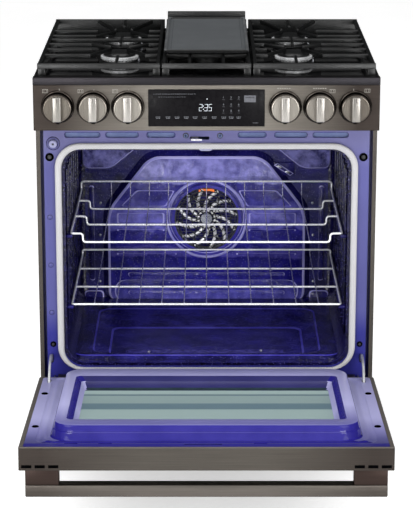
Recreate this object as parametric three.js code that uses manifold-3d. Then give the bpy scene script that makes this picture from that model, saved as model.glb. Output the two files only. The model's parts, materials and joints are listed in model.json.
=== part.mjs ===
// Freestanding gas range with its oven door open: separate pieces, in millimetres, +Z up, front towards -Y.
// Inside this file y = 0 is the blue front frame's face. The whole group is centred at the end.
import * as THREE from 'three';
import { mergeVertices } from 'three/addons/utils/BufferGeometryUtils.js';
import Module from 'manifold-3d';

const wasm = await Module();
wasm.setup();

// Driving dimensions.

const seat = 0.3; // gap between pieces that touch
const sheet = 1.2; // body sheet metal
const panelSheet = 1.5; // control panel, trim and door inner panel metal

const bodyHalf = 378; // half width over the side panels, control panel and cooktop
const doorInset = 1; // door's side edges in from the body's sides
const doorHalf = bodyHalf - doorInset;
const kickInset = 2; // lower trim and drawer front, in from the body's sides
const kickHalf = bodyHalf - kickInset;
const bodyBack = 625; // back panel's rear face, behind the front frame's face
const footHeight = 31.7; // floor to the foot's shoulder
const cooktopFront = -62; // face of the front trim

const sideFlange = 9.5; // front and rear return flanges of a side panel
const sideFront = -2; // front face of the side panels' flanges

const frameInset = 16.5; // blue front frame's edge, in from the body's side
const frameHalf = bodyHalf - frameInset;
const frameBottom = 151;
const frameReturn = 22; // folded side edges of the front frame

const cavityInset = 62; // oven opening and cavity, inside, in from the body's side
const cavityHalf = bodyHalf - cavityInset;
const cavityBottom = 246;
const cavityTop = 741;
const cavityDepth = 505;
const wallRaise = 18; // raised middle of the cavity's back wall
const raisedFace = cavityDepth - wallRaise;
const cavityCorner = 42;

const gasketThick = 11.2;
const gasketInner = { half: cavityHalf + 2.5, bottom: cavityBottom - 2, top: cavityTop + 2 };
const gasketOuter = {
  half: gasketInner.half + 19.5,
  bottom: gasketInner.bottom - 13,
  top: gasketInner.top + 18,
};
const gasketCorner = 44; // inner corner radius

const panelBottom = cavityTop + 56; // control panel
const panelHeight = 101.7;
const frameTop = panelBottom + 83;
const cooktopTop = panelBottom + panelHeight + 16.3; // top of the front trim, level with a kitchen counter
const panelFront = -60;
const displayBottom = panelBottom + 10;
const displayHeight = 82;
const displayThick = 2;
const knobInsets = [53.5, 131, 206.5]; // from each side of the panel
const leftKnobs = knobInsets.map((inset) => inset - bodyHalf);
const rightKnobs = leftKnobs.map((x) => -x).reverse();
const knobPlaces = [...leftKnobs, ...rightKnobs];
const knobRise = 53; // knobs' middle above the panel's lower edge
const knobHeight = panelBottom + knobRise;
const knobRadius = 31;
const knobBody = 17;
const gripLength = 55;
const gripWidth = 19;
const gripHeight = 13;
const bezelRadius = 36.5;
const displayHalf = bodyHalf - knobInsets[2] - bezelRadius - 8;
const bezelHeight = 4;
const knobTravel = 3;
const stemRadius = 5;
const stemInValve = 20;
const valveWidth = 30;
const valveHeight = 30;
const valveDepth = 39.7;
const manifoldRadius = 8;

const panFloor = cooktopTop - 10; // cooktop's sunken floor
const panRim = cooktopTop - 2; // top of its raised rim
const panRimWidth = 7;
const panFrontRim = 7.7; // rim behind the front trim
const panBackRim = 35; // wide rear rim, with the oven's vent slots
const trimDepth = 24;
const burnerInset = 180; // in from the body's side
const burnerX = bodyHalf - burnerInset;
const burnerFrontY = 180;
const burnerRearY = 420;
const burnerRadius = 46;
const capRadius = 36;
const capBottom = panFloor + 18;
const capThick = 9;
const burnerThroat = 22;
const burnerDrop = 20;
const centreBurnerY = 267;
const centreBurnerHalfLength = 90;
const centreBurnerHalfWidth = 28;

const grateRise = 30; // top of the grates above the pan's rim
const grateTop = panRim + grateRise;
const grateBar = 10; // height of the thin bars
const grateBarWidth = 7;
const grateStep = 0.5; // cross bars lie this much below the rails, and fingers below the cross bars
const grateRailWidth = 9;
const grateFrontRail = 12; // height of the front and side rails
const grateRearRail = 18;
const grateFront = -44;
const grateBack = 578;
const grateInset = 9; // in from the body's side
const grateOuter = bodyHalf - grateInset;
const grateSplit = 99.5; // middle of the gap between two grates
const grateGap = 4;
const grateFoot = 16;
const grateBarPlaces = [83, 157, 228, 292, 345, 415];
const fingerReach = 19; // fingers stop this far from a burner's middle
const fingerSpread = 64;
const centreBarPlaces = [83, 190, 292, 395, 480];

const griddleHalf = 94;
const griddleFront = 45;
const griddleBack = 520;
const griddleStand = 8; // plate's underside above the grate
const griddlePlate = 4;
const griddleRim = 3;
const griddleBackWall = 17;
const griddleRimWidth = 6;
const griddleRibPlaces = [83, 480];

const pivotY = -36; // door hinge axis
const pivotZ = 204;
const openAngle = 86;
const doorBottom = 224;
const doorTop = cavityTop + 51;
const doorOuter = -60; // outer and inner faces of the closed door
const doorInner = -12;
const doorLip = 9; // folded edges around the inner panel, at the sides
const doorEndLip = 6; // and along the top and bottom
const plugGap = 8; // closed door's raised middle, clear of the opening's floor
const plugTopGap = 3;
const plugBase = [-cavityHalf, cavityHalf, cavityBottom + plugGap, cavityTop - plugTopGap]; // x and z limits
const plugCrown = [plugBase[0] + 5, plugBase[1] - 5, plugBase[2] + 8, plugBase[3] - 10]; // at its flat top
const plugHeight = 30;
const plugCorner = cavityCorner + 2;
const windowMargin = 27; // window recess, in from the raised middle's sides
const windowBelow = 72; // and from its lower and upper edges
const windowAbove = 42;
const windowSlope = 18; // run of the recess's sloping walls at the sides, below and above
const windowLowSlope = 38;
const windowHighSlope = 31;
const windowRim = [plugCrown[0] + windowMargin, plugCrown[1] - windowMargin, plugCrown[2] + windowBelow,
  plugCrown[3] - windowAbove];
const windowFoot = [windowRim[0] + windowSlope, windowRim[1] - windowSlope, windowRim[2] + windowLowSlope,
  windowRim[3] - windowHighSlope];
const windowDepth = 21;
const paneThick = 4;
const paneLap = 8; // pane beyond the opening that it covers
const outerWindowInset = 8;
const glassVentPitch = 140; // cooling slots between the panes
const glassVentLength = 80;
const glassVentWidth = 10;
const tunnelWall = 2;

const dashInset = 16; // slots along the door's top edge, from its side
const dashPitch = 27;

const handleInset = 11; // bar's ends in from the door's sides
const handleHalf = doorHalf - handleInset;
const handleTop = doorTop - 24;
const handleHeight = 33;
const handleStandOff = 38; // clear finger depth behind the bar
const handleDepth = 25;
const postWidth = 68;
const postHeight = 29;

const armInset = 25; // middle of a hinge arm, in from the door's side
const armX = doorHalf - armInset;
const armThick = 5;
const armRadius = 64;
const armWidth = 12;
const armEnd = 126; // how far the curved arm runs round the pivot, in degrees
const bossRadius = 10;
const pinRadius = 4.7;
const bracketThick = 4;
const slotWide = 8;

const trimBottom = 151; // louvred lower trim
const trimTop = 218;
const lowerTrimFront = -48;
const lowerTrimShoulder = 188;
const lowerTrimNeck = armX - 14; // stays between the hinge brackets
const louvrePitch = 88;
const louvreLength = 64;

const drawerFrontBottom = 36;
const drawerFrontTop = 148;
const drawerFrontFace = -46;
const drawerInset = 43; // room for a runner and a foot at each side
const drawerHalf = bodyHalf - drawerInset;
const drawerFloor = 42;
const drawerWall = 93;
const drawerBack = 475;
const railWidth = 20;
const railLip = 18;

const rackFront = doorInner + plugHeight + 4; // front wires stay clear of the closed door
const ribWidth = 14; // rack ledges on the cavity walls
const ribHeight = 8;
const ribFront = rackFront - 2;
const ribBack = raisedFace - 13;
const rackHalf = cavityHalf - 8;
const rackWire = 5; // heavy wires
const rackFine = 3.4; // fine fore-and-aft wires
const rackFineCount = 9;
const rackShelf = 27; // level edge of the dropped rack
const upperRack = {
  level: 544, drop: 20, crossPlaces: [rackFront, 181, 333], back: raisedFace - 40, rise: 21,
};
const lowerRack = {
  level: 378, drop: 0, crossPlaces: [rackFront, 166, 324], back: raisedFace - 31, rise: 12,
};

const fanZ = 466;
const raisedBottom = 270;
const raisedTop = 612;
const raisedHalf = 238;
const raisedTopHalf = 126;
const raisedShoulder = 488;
const fanWell = 92; // round well behind the fan cover
const coverRadius = 86;
const coverHeight = 22;
const coverSkin = 1.5;
const coverSlots = 8;
const bladeRadius = 64;
const bladeDepth = 10;
const bladeCount = 6;
const shaftRadius = 4;
const shaftRun = 0.4; // running gap round the fan's shaft
const elementRadius = 78;
const elementTube = 3.5;
const motorRadius = 38;
const motorDepth = 45;

const lampInset = 126; // in from the cavity's side
const lampX = cavityHalf - lampInset;
const lampZ = cavityTop - 157;
const lampWidth = 54;
const lampHeight = 34;
const lampDepth = 16;

const broilHalf = 45;
const broilLength = 330;
const broilFront = 80;
const broilHeight = 16;

const switchX = 21.5 - frameHalf; // plunger of the oven light switch
const switchZ = cavityTop + 15;
const switchRadius = 9;
const switchReach = 11.5;
const switchBehind = 14;

const latchLeft = -34; // left edge of the latch tongue when unlocked
const latchZ = cavityTop + 27;
const latchWidth = 16;
const latchReach = 20;
const latchThick = 3;
const latchTab = 8;
const latchTail = 30;
const latchSlide = 22;

// Materials.

const finishes = {
  enamelBlue: { color: 0x3a32a0, roughness: 0.2, metalness: 0.1 },
  blackSteel: { color: 0x57504a, roughness: 0.35, metalness: 0.8 },
  greySteel: { color: 0x8a8680, roughness: 0.4, metalness: 0.6 },
  zinc: { color: 0xb4b6b8, roughness: 0.45, metalness: 0.8 },
  castIron: { color: 0x26282a, roughness: 0.7, metalness: 0.2 },
  griddleIron: { color: 0x55585a, roughness: 0.5, metalness: 0.3 },
  blackEnamel: { color: 0x101113, roughness: 0.12, metalness: 0.1 },
  burnerAluminium: { color: 0xc9cbcc, roughness: 0.3, metalness: 0.9 },
  knobNickel: { color: 0xbfb9b0, roughness: 0.3, metalness: 0.9 },
  blackGlass: { color: 0x141416, roughness: 0.08, metalness: 0 },
  clearGlass: { color: 0x8fa7a0, roughness: 0.05, metalness: 0 },
  chrome: { color: 0xe4e6e8, roughness: 0.15, metalness: 1 },
  gasket: { color: 0xd8d4cc, roughness: 0.9, metalness: 0 },
  blackPlastic: { color: 0x1a1a1c, roughness: 0.6, metalness: 0 },
  palePlastic: { color: 0xd2d0cc, roughness: 0.5, metalness: 0 },
};

// Helpers.

// A closed geometry as a solid that can be joined and cut.
function toSolid(geometry) {
  const bare = geometry.index ? geometry.toNonIndexed() : geometry.clone();
  bare.deleteAttribute('normal');
  bare.deleteAttribute('uv');
  const merged = mergeVertices(bare, 1e-4);
  const mesh = new wasm.Mesh({
    numProp: 3,
    vertProperties: new Float32Array(merged.attributes.position.array),
    triVerts: new Uint32Array(merged.index.array),
  });
  mesh.merge();
  return new wasm.Manifold(mesh);
}

function toGeometry(solid) {
  const mesh = solid.getMesh();
  const geometry = new THREE.BufferGeometry();
  geometry.setAttribute('position', new THREE.BufferAttribute(mesh.vertProperties, 3));
  geometry.setIndex(new THREE.BufferAttribute(mesh.triVerts, 1));
  geometry.computeVertexNormals();
  return geometry;
}

function join(geometries) {
  return geometries.map(toSolid).reduce((whole, next) => whole.add(next));
}

// One geometry from the pieces in add, less the pieces in cut.
function shape(add, cut = []) {
  const solid = cut.length ? join(add).subtract(join(cut)) : join(add);
  return toGeometry(solid);
}

function box(x0, x1, y0, y1, z0, z1) {
  const geometry = new THREE.BoxGeometry(x1 - x0, y1 - y0, z1 - z0);
  return geometry.translate((x0 + x1) / 2, (y0 + y1) / 2, (z0 + z1) / 2);
}

// A box whose far y face is a smaller or larger rectangle than its near one.
function taperBox(near, far, y0, y1) {
  const geometry = new THREE.BoxGeometry(1, 1, 1);
  const position = geometry.attributes.position;
  for (let i = 0; i < position.count; i += 1) {
    const rect = position.getY(i) < 0 ? near : far;
    const x = position.getX(i) < 0 ? rect[0] : rect[1];
    const z = position.getZ(i) < 0 ? rect[2] : rect[3];
    position.setXYZ(i, x, position.getY(i) < 0 ? y0 : y1, z);
  }
  return geometry;
}

function outline(points) {
  const form = new THREE.Shape();
  form.setFromPoints(points.map(([a, b]) => new THREE.Vector2(a, b)));
  return form;
}

function roundedRect(x0, x1, z0, z1, radius) {
  const form = new THREE.Shape();
  form.moveTo(x0 + radius, z0);
  form.absarc(x1 - radius, z0 + radius, radius, -Math.PI / 2, 0, false);
  form.absarc(x1 - radius, z1 - radius, radius, 0, Math.PI / 2, false);
  form.absarc(x0 + radius, z1 - radius, radius, Math.PI / 2, Math.PI, false);
  form.absarc(x0 + radius, z0 + radius, radius, Math.PI, Math.PI * 1.5, false);
  return form;
}

// A form drawn in x and z, from y0 to y1.
function alongY(form, y0, y1, curveSegments = 5) {
  const geometry = new THREE.ExtrudeGeometry(form, { depth: y1 - y0, bevelEnabled: false, curveSegments });
  return geometry.rotateX(Math.PI / 2).translate(0, y1, 0);
}

// The near rectangle with rounded corners at y0, spread or shrunk onto the far one at y1.
function taperForm(near, far, radius, y0, y1) {
  const geometry = alongY(roundedRect(near[0], near[1], near[2], near[3], radius), y0, y1);
  const position = geometry.attributes.position;
  for (let i = 0; i < position.count; i += 1) {
    if (position.getY(i) > (y0 + y1) / 2) {
      const x = THREE.MathUtils.mapLinear(position.getX(i), near[0], near[1], far[0], far[1]);
      const z = THREE.MathUtils.mapLinear(position.getZ(i), near[2], near[3], far[2], far[3]);
      position.setXYZ(i, x, position.getY(i), z);
    }
  }
  return geometry;
}

// A form drawn in y and z, from x0 to x1.
function alongX(form, x0, x1, curveSegments = 8) {
  const geometry = new THREE.ExtrudeGeometry(form, { depth: x1 - x0, bevelEnabled: false, curveSegments });
  return geometry.rotateY(Math.PI / 2).rotateX(Math.PI / 2).translate(x0, 0, 0);
}

// A form drawn in x and y, from z0 to z1.
function alongZ(form, z0, z1, curveSegments = 8) {
  const geometry = new THREE.ExtrudeGeometry(form, { depth: z1 - z0, bevelEnabled: false, curveSegments });
  return geometry.translate(0, 0, z0);
}

function rodX(x0, x1, y, z, radius, sides = 16) {
  const geometry = new THREE.CylinderGeometry(radius, radius, x1 - x0, sides).rotateZ(Math.PI / 2);
  return geometry.translate((x0 + x1) / 2, y, z);
}

function rodY(x, y0, y1, z, radius, sides = 16) {
  return new THREE.CylinderGeometry(radius, radius, y1 - y0, sides).translate(x, (y0 + y1) / 2, z);
}

function rodZ(x, y, z0, z1, radius, sides = 20) {
  const geometry = new THREE.CylinderGeometry(radius, radius, z1 - z0, sides).rotateX(Math.PI / 2);
  return geometry.translate(x, y, (z0 + z1) / 2);
}

// A profile of [radius, height] points turned about the vertical axis through x, y.
function turned(profile, x, y, sides = 18) {
  const points = profile.map(([radius, height]) => new THREE.Vector2(radius, height));
  return new THREE.LatheGeometry(points, sides).rotateX(Math.PI / 2).translate(x, y, 0);
}

// The same about a front-to-back axis through x, z, with heights measured along y.
function turnedY(profile, x, z, sides = 24) {
  const points = profile.map(([radius, height]) => new THREE.Vector2(radius, height));
  return new THREE.LatheGeometry(points, sides).translate(x, 0, z);
}

// A level bar between two plan points.
function bar(x0, y0, x1, y1, width, z0, z1) {
  const length = Math.hypot(x1 - x0, y1 - y0);
  const geometry = new THREE.BoxGeometry(length, width, z1 - z0).rotateZ(Math.atan2(y1 - y0, x1 - x0));
  return geometry.translate((x0 + x1) / 2, (y0 + y1) / 2, (z0 + z1) / 2);
}

// Two values with the smaller one first.
function ordered(a, b) {
  return [Math.min(a, b), Math.max(a, b)];
}

function mirrored(geometry) {
  const mirror = geometry.clone().scale(-1, 1, 1);
  mirror.index.array.reverse();
  return mirror;
}

const range = new THREE.Group();
const sides = [['left', -1], ['right', 1]];

function add(name, geometry, finish, parent = range) {
  const material = new THREE.MeshStandardMaterial({ ...finishes[finish] });
  const mesh = new THREE.Mesh(geometry, material);
  mesh.name = name;
  parent.add(mesh);
  return mesh;
}

// Base, feet and body panels.

const baseBottom = footHeight + seat;
const panelTop = panelBottom + panelHeight;
const sideBottom = baseBottom + 1;
const sideTop = panelTop;
const sideBack = bodyBack - sheet - seat;
const baseTop = baseBottom + sheet;
const backSlotX = 210; // vent slots of the back panel
const backSlotHalf = 45;
const backSlotZ = 560;
const gasInletHalf = 20; // opening for the gas pipe
const gasInletZ = 110;
const footX = bodyHalf - 21;
const footPlaces = { front: 45, rear: bodyBack - 45 };
const footSole = 18;
const footStud = 5;

function makeBase() {
  const inner = bodyHalf - sheet - seat;
  const back = sideBack - sheet - seat;
  const upstand = 20;
  const cuts = [box(-inner + sheet, inner - sheet, 0, back - sheet, baseTop, baseBottom + upstand + 1)];
  const body = [box(-inner, inner, 1, back, baseBottom, baseBottom + upstand)];
  for (const [, side] of sides) {
    for (const y of Object.values(footPlaces)) {
      cuts.push(rodZ(side * footX, y, baseBottom - 1, baseTop + 1, footStud + seat));
    }
  }
  const rails = [];
  for (const [, side] of sides) {
    const edge = drawerHalf + seat;
    const lip = ordered(side * edge, side * (edge + sheet));
    const ledge = ordered(side * (edge - railWidth), side * edge);
    rails.push(box(ledge[0], ledge[1], 4, drawerBack, baseTop - 0.2, drawerFloor - seat));
    rails.push(box(lip[0], lip[1], 4, drawerBack, baseTop - 0.2, drawerFloor + railLip));
  }
  const pan = join(body).subtract(join(cuts));
  return toGeometry(pan.add(join(rails)));
}
add('base_pan', makeBase(), 'zinc');

for (const [sideName, side] of sides) {
  for (const [place, y] of Object.entries(footPlaces)) {
    const profile = [[0, 0], [footSole, 0], [footSole, 7], [11, 10], [11, footHeight], [footStud, footHeight],
      [footStud, footHeight + 14], [0, footHeight + 14]];
    add(`${place}_${sideName}_foot`, turned(profile, side * footX, y, 10), 'blackPlastic');
  }
}

for (const [sideName, side] of sides) {
  const out = bodyHalf;
  const flange = out - sideFlange;
  const form = outline([[out, sideFront], [out, sideBack], [flange, sideBack], [flange, sideBack - sheet],
    [out - sheet, sideBack - sheet], [out - sheet, sideFront + sheet], [flange, sideFront + sheet],
    [flange, sideFront]].map(([x, y]) => [side * x, y]));
  add(`${sideName}_side_panel`, alongZ(form, sideBottom, sideTop), 'blackSteel');
}

function makeBackPanel() {
  const slots = [];
  for (const [, side] of sides) {
    for (let row = 0; row < 5; row += 1) {
      const z = backSlotZ + row * 40;
      slots.push(box(side * backSlotX - backSlotHalf, side * backSlotX + backSlotHalf, bodyBack - sheet - 1,
        bodyBack + 1, z, z + 8));
    }
  }
  slots.push(box(-gasInletHalf, gasInletHalf, bodyBack - sheet - 1, bodyBack + 1, gasInletZ - gasInletHalf,
    gasInletZ + gasInletHalf));
  return shape([box(-bodyHalf, bodyHalf, bodyBack - sheet, bodyBack, sideBottom, sideTop)], slots);
}
add('back_panel', makeBackPanel(), 'zinc');

// Front frame with the oven opening.

const ventSlots = [[236, 314], [151, 223], [70, 132]]; // inner and outer edges, the same on both sides
const ventLow = cavityTop + 28.5;
const ventTall = 11;
const frameScrews = [[-46, cavityTop + 32], [31, cavityTop + 32]];
// Heights above the hinge axis between which a curved arm passes through the frame's sheet.
const armSlotLow = Math.sqrt((armRadius - armWidth / 2) ** 2 - (sheet - pivotY) ** 2) - 3;
const armSlotHigh = Math.sqrt((armRadius + armWidth / 2) ** 2 - pivotY ** 2) + 3;
const latchLow = latchZ - latchThick / 2;
const latchHigh = latchZ + latchThick / 2;
const latchRight = latchLeft + latchWidth;

function makeFrontFrame() {
  const body = [box(-frameHalf, frameHalf, 0, sheet, frameBottom, frameTop)];
  for (const [, side] of sides) {
    const fold = ordered(side * frameHalf, side * (frameHalf - sheet));
    body.push(box(fold[0], fold[1], 0, frameReturn, frameBottom, frameTop));
    const flange = ordered(side * (frameHalf - sheet), side * (bodyHalf - sheet - seat));
    body.push(box(flange[0], flange[1], frameReturn - sheet, frameReturn, frameBottom, frameTop));
    const plateNear = armX - armThick / 2 - 2;
    const plate = ordered(side * plateNear, side * (plateNear - bracketThick));
    body.push(box(plate[0], plate[1], pivotY - 9, sheet / 2, pivotZ - 12, pivotZ + 12));
    const pin = ordered(side * (armX - armThick / 2 - 4), side * (armX + armThick / 2 + 3));
    body.push(rodX(pin[0], pin[1], pivotY, pivotZ, pinRadius, 20));
  }
  const guide = [latchLeft - 4, latchRight + latchSlide + 4];
  body.push(box(guide[0], guide[1], sheet / 2, latchTail, latchHigh + seat, latchHigh + seat + sheet));
  body.push(box(guide[0], guide[1], sheet / 2, latchTail, latchLow - seat - sheet, latchLow - seat));
  const opening = roundedRect(-cavityHalf, cavityHalf, cavityBottom, cavityTop, cavityCorner);
  const cuts = [alongY(opening, -1, sheet + 1)];
  for (const [, side] of sides) {
    for (const [near, far] of ventSlots) {
      const slot = ordered(side * near, side * far);
      cuts.push(box(slot[0], slot[1], -1, sheet + 1, ventLow, ventLow + ventTall));
    }
    cuts.push(box(side * armX - slotWide / 2, side * armX + slotWide / 2, -1, sheet + 1,
      pivotZ + armSlotLow, pivotZ + armSlotHigh));
  }
  for (const [x, z] of frameScrews) {
    cuts.push(rodY(x, -1, sheet + 1, z, 2.5, 10));
  }
  cuts.push(box(latchLeft - 2, latchRight + latchSlide + 2, -1, sheet + 1, latchLow - 2, latchHigh + 2));
  cuts.push(rodY(switchX, -1, sheet + 1, switchZ, switchRadius + seat));
  return shape(body, cuts);
}
add('front_frame', makeFrontFrame(), 'enamelBlue');

// Oven cavity.

const cavityFront = sheet + seat;
const backWall = cavityDepth;
const ledgeTops = [upperRack, lowerRack].map((rack) => rack.level - rackWire / 2 - seat);
const lampBox = [lampX - lampWidth / 2, lampX + lampWidth / 2, lampZ - lampHeight / 2,
  lampZ + lampHeight / 2];

function makeCavity() {
  const outer = roundedRect(-cavityHalf - sheet, cavityHalf + sheet, cavityBottom - sheet, cavityTop + sheet,
    cavityCorner + sheet);
  const inner = roundedRect(-cavityHalf, cavityHalf, cavityBottom, cavityTop, cavityCorner);
  const shell = toSolid(alongY(outer, cavityFront, backWall + sheet))
    .subtract(toSolid(alongY(inner, cavityFront - 1, backWall)));
  const raised = outline([[-raisedHalf, raisedBottom], [raisedHalf, raisedBottom],
    [raisedHalf, raisedShoulder], [raisedTopHalf, raisedTop], [-raisedTopHalf, raisedTop],
    [-raisedHalf, raisedShoulder]]);
  const extra = [alongY(raised, raisedFace, backWall + sheet / 2)];
  for (const [, side] of sides) {
    for (const z of ledgeTops) {
      const rib = ordered(side * (cavityHalf - ribWidth), side * (cavityHalf + sheet / 2));
      extra.push(box(rib[0], rib[1], ribFront, ribBack, z - ribHeight, z));
    }
  }
  const well = rodY(0, raisedFace - 1, backWall, fanZ, fanWell, 24);
  const bush = rodY(0, raisedFace - 1, backWall + sheet + 1, fanZ, shaftRadius + 2);
  const lampWell = box(lampBox[0] - 2, lampBox[1] + 2, raisedFace - 1, backWall, lampBox[2] - 2,
    lampBox[3] + 2);
  return toGeometry(shell.add(join(extra)).subtract(join([well, bush, lampWell])));
}
add('oven_cavity', makeCavity(), 'enamelBlue');

function makeGasket() {
  const back = -seat;
  const front = back - gasketThick;
  const ring = (edge, radius) => roundedRect(-edge.half, edge.half, edge.bottom, edge.top, radius);
  const outer = alongY(ring(gasketOuter, gasketCorner + 16), front, back);
  return shape([outer], [alongY(ring(gasketInner, gasketCorner), front - 1, back + 1)]);
}
add('door_gasket', makeGasket(), 'gasket');

add('oven_lamp', shape([box(lampBox[0], lampBox[1], backWall - seat - lampDepth, backWall - seat,
  lampBox[2], lampBox[3])]), 'clearGlass');

function makeBroiler() {
  const top = cavityTop - seat;
  const low = top - broilHeight;
  const cuts = [];
  for (let i = 0; i < 8; i += 1) {
    const y = broilFront + 24 + i * (broilLength - 48) / 7;
    cuts.push(box(-broilHalf + 12, broilHalf - 12, y - 4, y + 4, low - 1, low + 6));
  }
  return shape([box(-broilHalf, broilHalf, broilFront, broilFront + broilLength, low, top)], cuts);
}
add('broil_burner', makeBroiler(), 'zinc');

// Convection fan.

const coverBack = raisedFace - seat;
const coverFace = coverBack - coverHeight;

function makeFanCover() {
  const rim = coverRadius + 10;
  const outside = [[0, coverFace], [coverRadius - 6, coverFace], [coverRadius, coverFace + 6],
    [coverRadius, coverBack - coverSkin], [rim, coverBack - coverSkin], [rim, coverBack],
    [coverRadius - coverSkin, coverBack], [coverRadius - coverSkin, coverFace + 6 + coverSkin],
    [coverRadius - 6 - coverSkin, coverFace + coverSkin], [0, coverFace + coverSkin]];
  const cuts = [];
  for (let i = 0; i < coverSlots; i += 1) {
    const turn = (i / coverSlots) * Math.PI * 2;
    const slot = box(22, coverRadius - 14, coverFace - 1, coverFace + coverSkin + 1, -9, 9);
    cuts.push(slot.rotateY(turn).translate(0, 0, fanZ));
  }
  return shape([turnedY(outside, 0, fanZ, 24)], cuts);
}
add('fan_cover', makeFanCover(), 'blackEnamel');

const bladeY = raisedFace - 12;
const motorFront = backWall + sheet + seat;

function makeFanBlade() {
  const parts = [rodY(0, bladeY - bladeDepth / 2, bladeY + bladeDepth / 2, fanZ, 12),
    rodY(0, bladeY, motorFront + motorDepth / 2, fanZ, shaftRadius)];
  for (let i = 0; i < bladeCount; i += 1) {
    const vane = box(6, bladeRadius, bladeY - bladeDepth / 2, bladeY + bladeDepth / 2, -1, 1);
    parts.push(vane.rotateY((i / bladeCount) * Math.PI * 2).translate(0, 0, fanZ));
  }
  return shape(parts);
}
add('fan_blade', makeFanBlade(), 'zinc');

const motorBore = shaftRadius + shaftRun;
add('fan_motor', shape(
  [rodY(0, motorFront, motorFront + motorDepth, fanZ, motorRadius, 20)],
  [rodY(0, motorFront - 1, motorFront + motorDepth / 2 + 1, fanZ, motorBore)],
), 'zinc');

function makeElement() {
  const ring = new THREE.TorusGeometry(elementRadius, elementTube, 6, 24).rotateX(Math.PI / 2);
  const y = raisedFace - elementTube - seat - 1;
  const tail = rodY(elementRadius, y, backWall - seat, fanZ, elementTube, 8);
  return shape([ring.translate(0, y, fanZ), tail, mirrored(tail)]);
}
add('convection_element', makeElement(), 'chrome');

// Racks.

function wireX(x0, x1, y, z, size) {
  return box(x0, x1, y - size / 2, y + size / 2, z - size / 2, z + size / 2);
}

function wireY(x, y0, y1, z, size) {
  return box(x - size / 2, x + size / 2, y0, y1, z - size / 2, z + size / 2);
}

function wireZ(x, y, z0, z1, size) {
  return box(x - size / 2, x + size / 2, y - size / 2, y + size / 2, z0, z1);
}

// A flat or dropped rack: cross wires, side wires, fine wires and a raised back rail.
function makeRack({ level, drop, crossPlaces, back, rise }) {
  const half = rackHalf - rackWire / 2;
  const middle = half - (drop ? rackShelf : 0);
  const front = crossPlaces[0];
  const deck = level - drop;
  const wires = [];
  for (const [, side] of sides) {
    wires.push(wireY(side * half, front - rackWire / 2, back + rackWire / 2, level, rackWire));
    wires.push(wireZ(side * half, back, level, level + rise + rackWire / 2, rackWire));
  }
  wires.push(wireX(-half, half, back, level + rise, rackWire));
  for (const y of [...crossPlaces, back]) {
    if (drop) {
      for (const [, side] of sides) {
        const shelf = ordered(side * middle, side * half);
        wires.push(wireX(shelf[0], shelf[1], y, level, rackWire));
        wires.push(wireZ(side * middle, y, deck - rackWire / 2, level + rackWire / 2, rackWire));
      }
    }
    wires.push(wireX(-middle, middle, y, deck, rackWire));
  }
  const fineZ = deck + (rackWire + rackFine) / 2 - 0.8;
  for (let i = 0; i < rackFineCount; i += 1) {
    const x = -middle + ((i + 1) / (rackFineCount + 1)) * middle * 2;
    wires.push(wireY(x, front - rackFine / 2, back + rackFine / 2, fineZ, rackFine));
  }
  return shape(wires);
}
add('upper_rack', makeRack(upperRack), 'chrome');
add('lower_rack', makeRack(lowerRack), 'chrome');

// Control panel, display, knobs and gas manifold.

function makeControlPanel() {
  const back = sideFront - seat;
  const body = [box(-bodyHalf, bodyHalf, panelFront, back, panelBottom, panelTop)];
  for (const x of knobPlaces) {
    body.push(rodY(x, panelFront - bezelHeight, panelFront + 0.5, knobHeight, bezelRadius, 20));
  }
  const cuts = [
    box(-bodyHalf + panelSheet, bodyHalf - panelSheet, panelFront + panelSheet, back + 1,
      panelBottom + panelSheet, panelTop - panelSheet),
    box(-displayHalf + 6, displayHalf - 6, panelFront - 1, panelFront + panelSheet + 1,
      displayBottom + 6, displayBottom + displayHeight - 6),
  ];
  for (const x of knobPlaces) {
    cuts.push(rodY(x, panelFront - bezelHeight - 1, panelFront + panelSheet + 1, knobHeight,
      stemRadius + 2, 12));
  }
  return shape(body, cuts);
}
add('control_panel', makeControlPanel(), 'blackSteel');

add('display_glass', shape([box(-displayHalf, displayHalf, panelFront - seat - displayThick,
  panelFront - seat, displayBottom, displayBottom + displayHeight)]), 'blackGlass');

const valveFront = -seat - valveDepth;
const stemBack = valveFront + stemInValve;
const knobBack = panelFront - bezelHeight - seat - knobTravel;
const knobFace = knobBack - knobBody;
const stemFront = knobFace + knobTravel;
const knobNames = ['left_front', 'left_rear', 'middle', 'oven', 'right_front', 'right_rear'];

function makeManifold() {
  const tubeZ = knobHeight - valveHeight / 2;
  const reach = Math.max(...knobPlaces) + valveWidth / 2;
  const body = [rodX(-reach, reach, valveFront / 2, tubeZ, manifoldRadius, 16)];
  const bores = [];
  for (const x of knobPlaces) {
    body.push(box(x - valveWidth / 2, x + valveWidth / 2, valveFront, -seat,
      knobHeight - valveHeight / 2, knobHeight + valveHeight / 2));
    bores.push(rodY(x, valveFront - 1, stemBack + seat, knobHeight, stemRadius + seat, 12));
  }
  return shape(body, bores);
}
add('gas_manifold', makeManifold(), 'zinc');

knobPlaces.forEach((x, index) => {
  add(`${knobNames[index]}_valve_stem`, rodY(x, stemFront, stemBack, knobHeight, stemRadius, 12), 'zinc');
  const profile = [[0, knobBack], [knobRadius, knobBack], [knobRadius, knobFace + 3],
    [knobRadius - 3, knobFace], [0, knobFace]];
  const grip = box(x - gripWidth / 2, x + gripWidth / 2, knobFace - gripHeight, knobFace + 1,
    knobHeight - gripLength / 2, knobHeight + gripLength / 2);
  const bore = rodY(x, stemFront - knobTravel - 1, knobBack + 1, knobHeight, stemRadius + seat, 12);
  const body = turnedY(profile.reverse(), x, knobHeight, 20);
  add(`${knobNames[index]}_knob`, shape([body, grip], [bore]), 'knobNickel');
});

// Cooktop.

const panFront = cooktopFront + trimDepth + seat;
const burnerPlaces = [];
for (const [sideName, side] of sides) {
  burnerPlaces.push([`${sideName}_front`, side * burnerX, burnerFrontY]);
  burnerPlaces.push([`${sideName}_rear`, side * burnerX, burnerRearY]);
}

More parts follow.
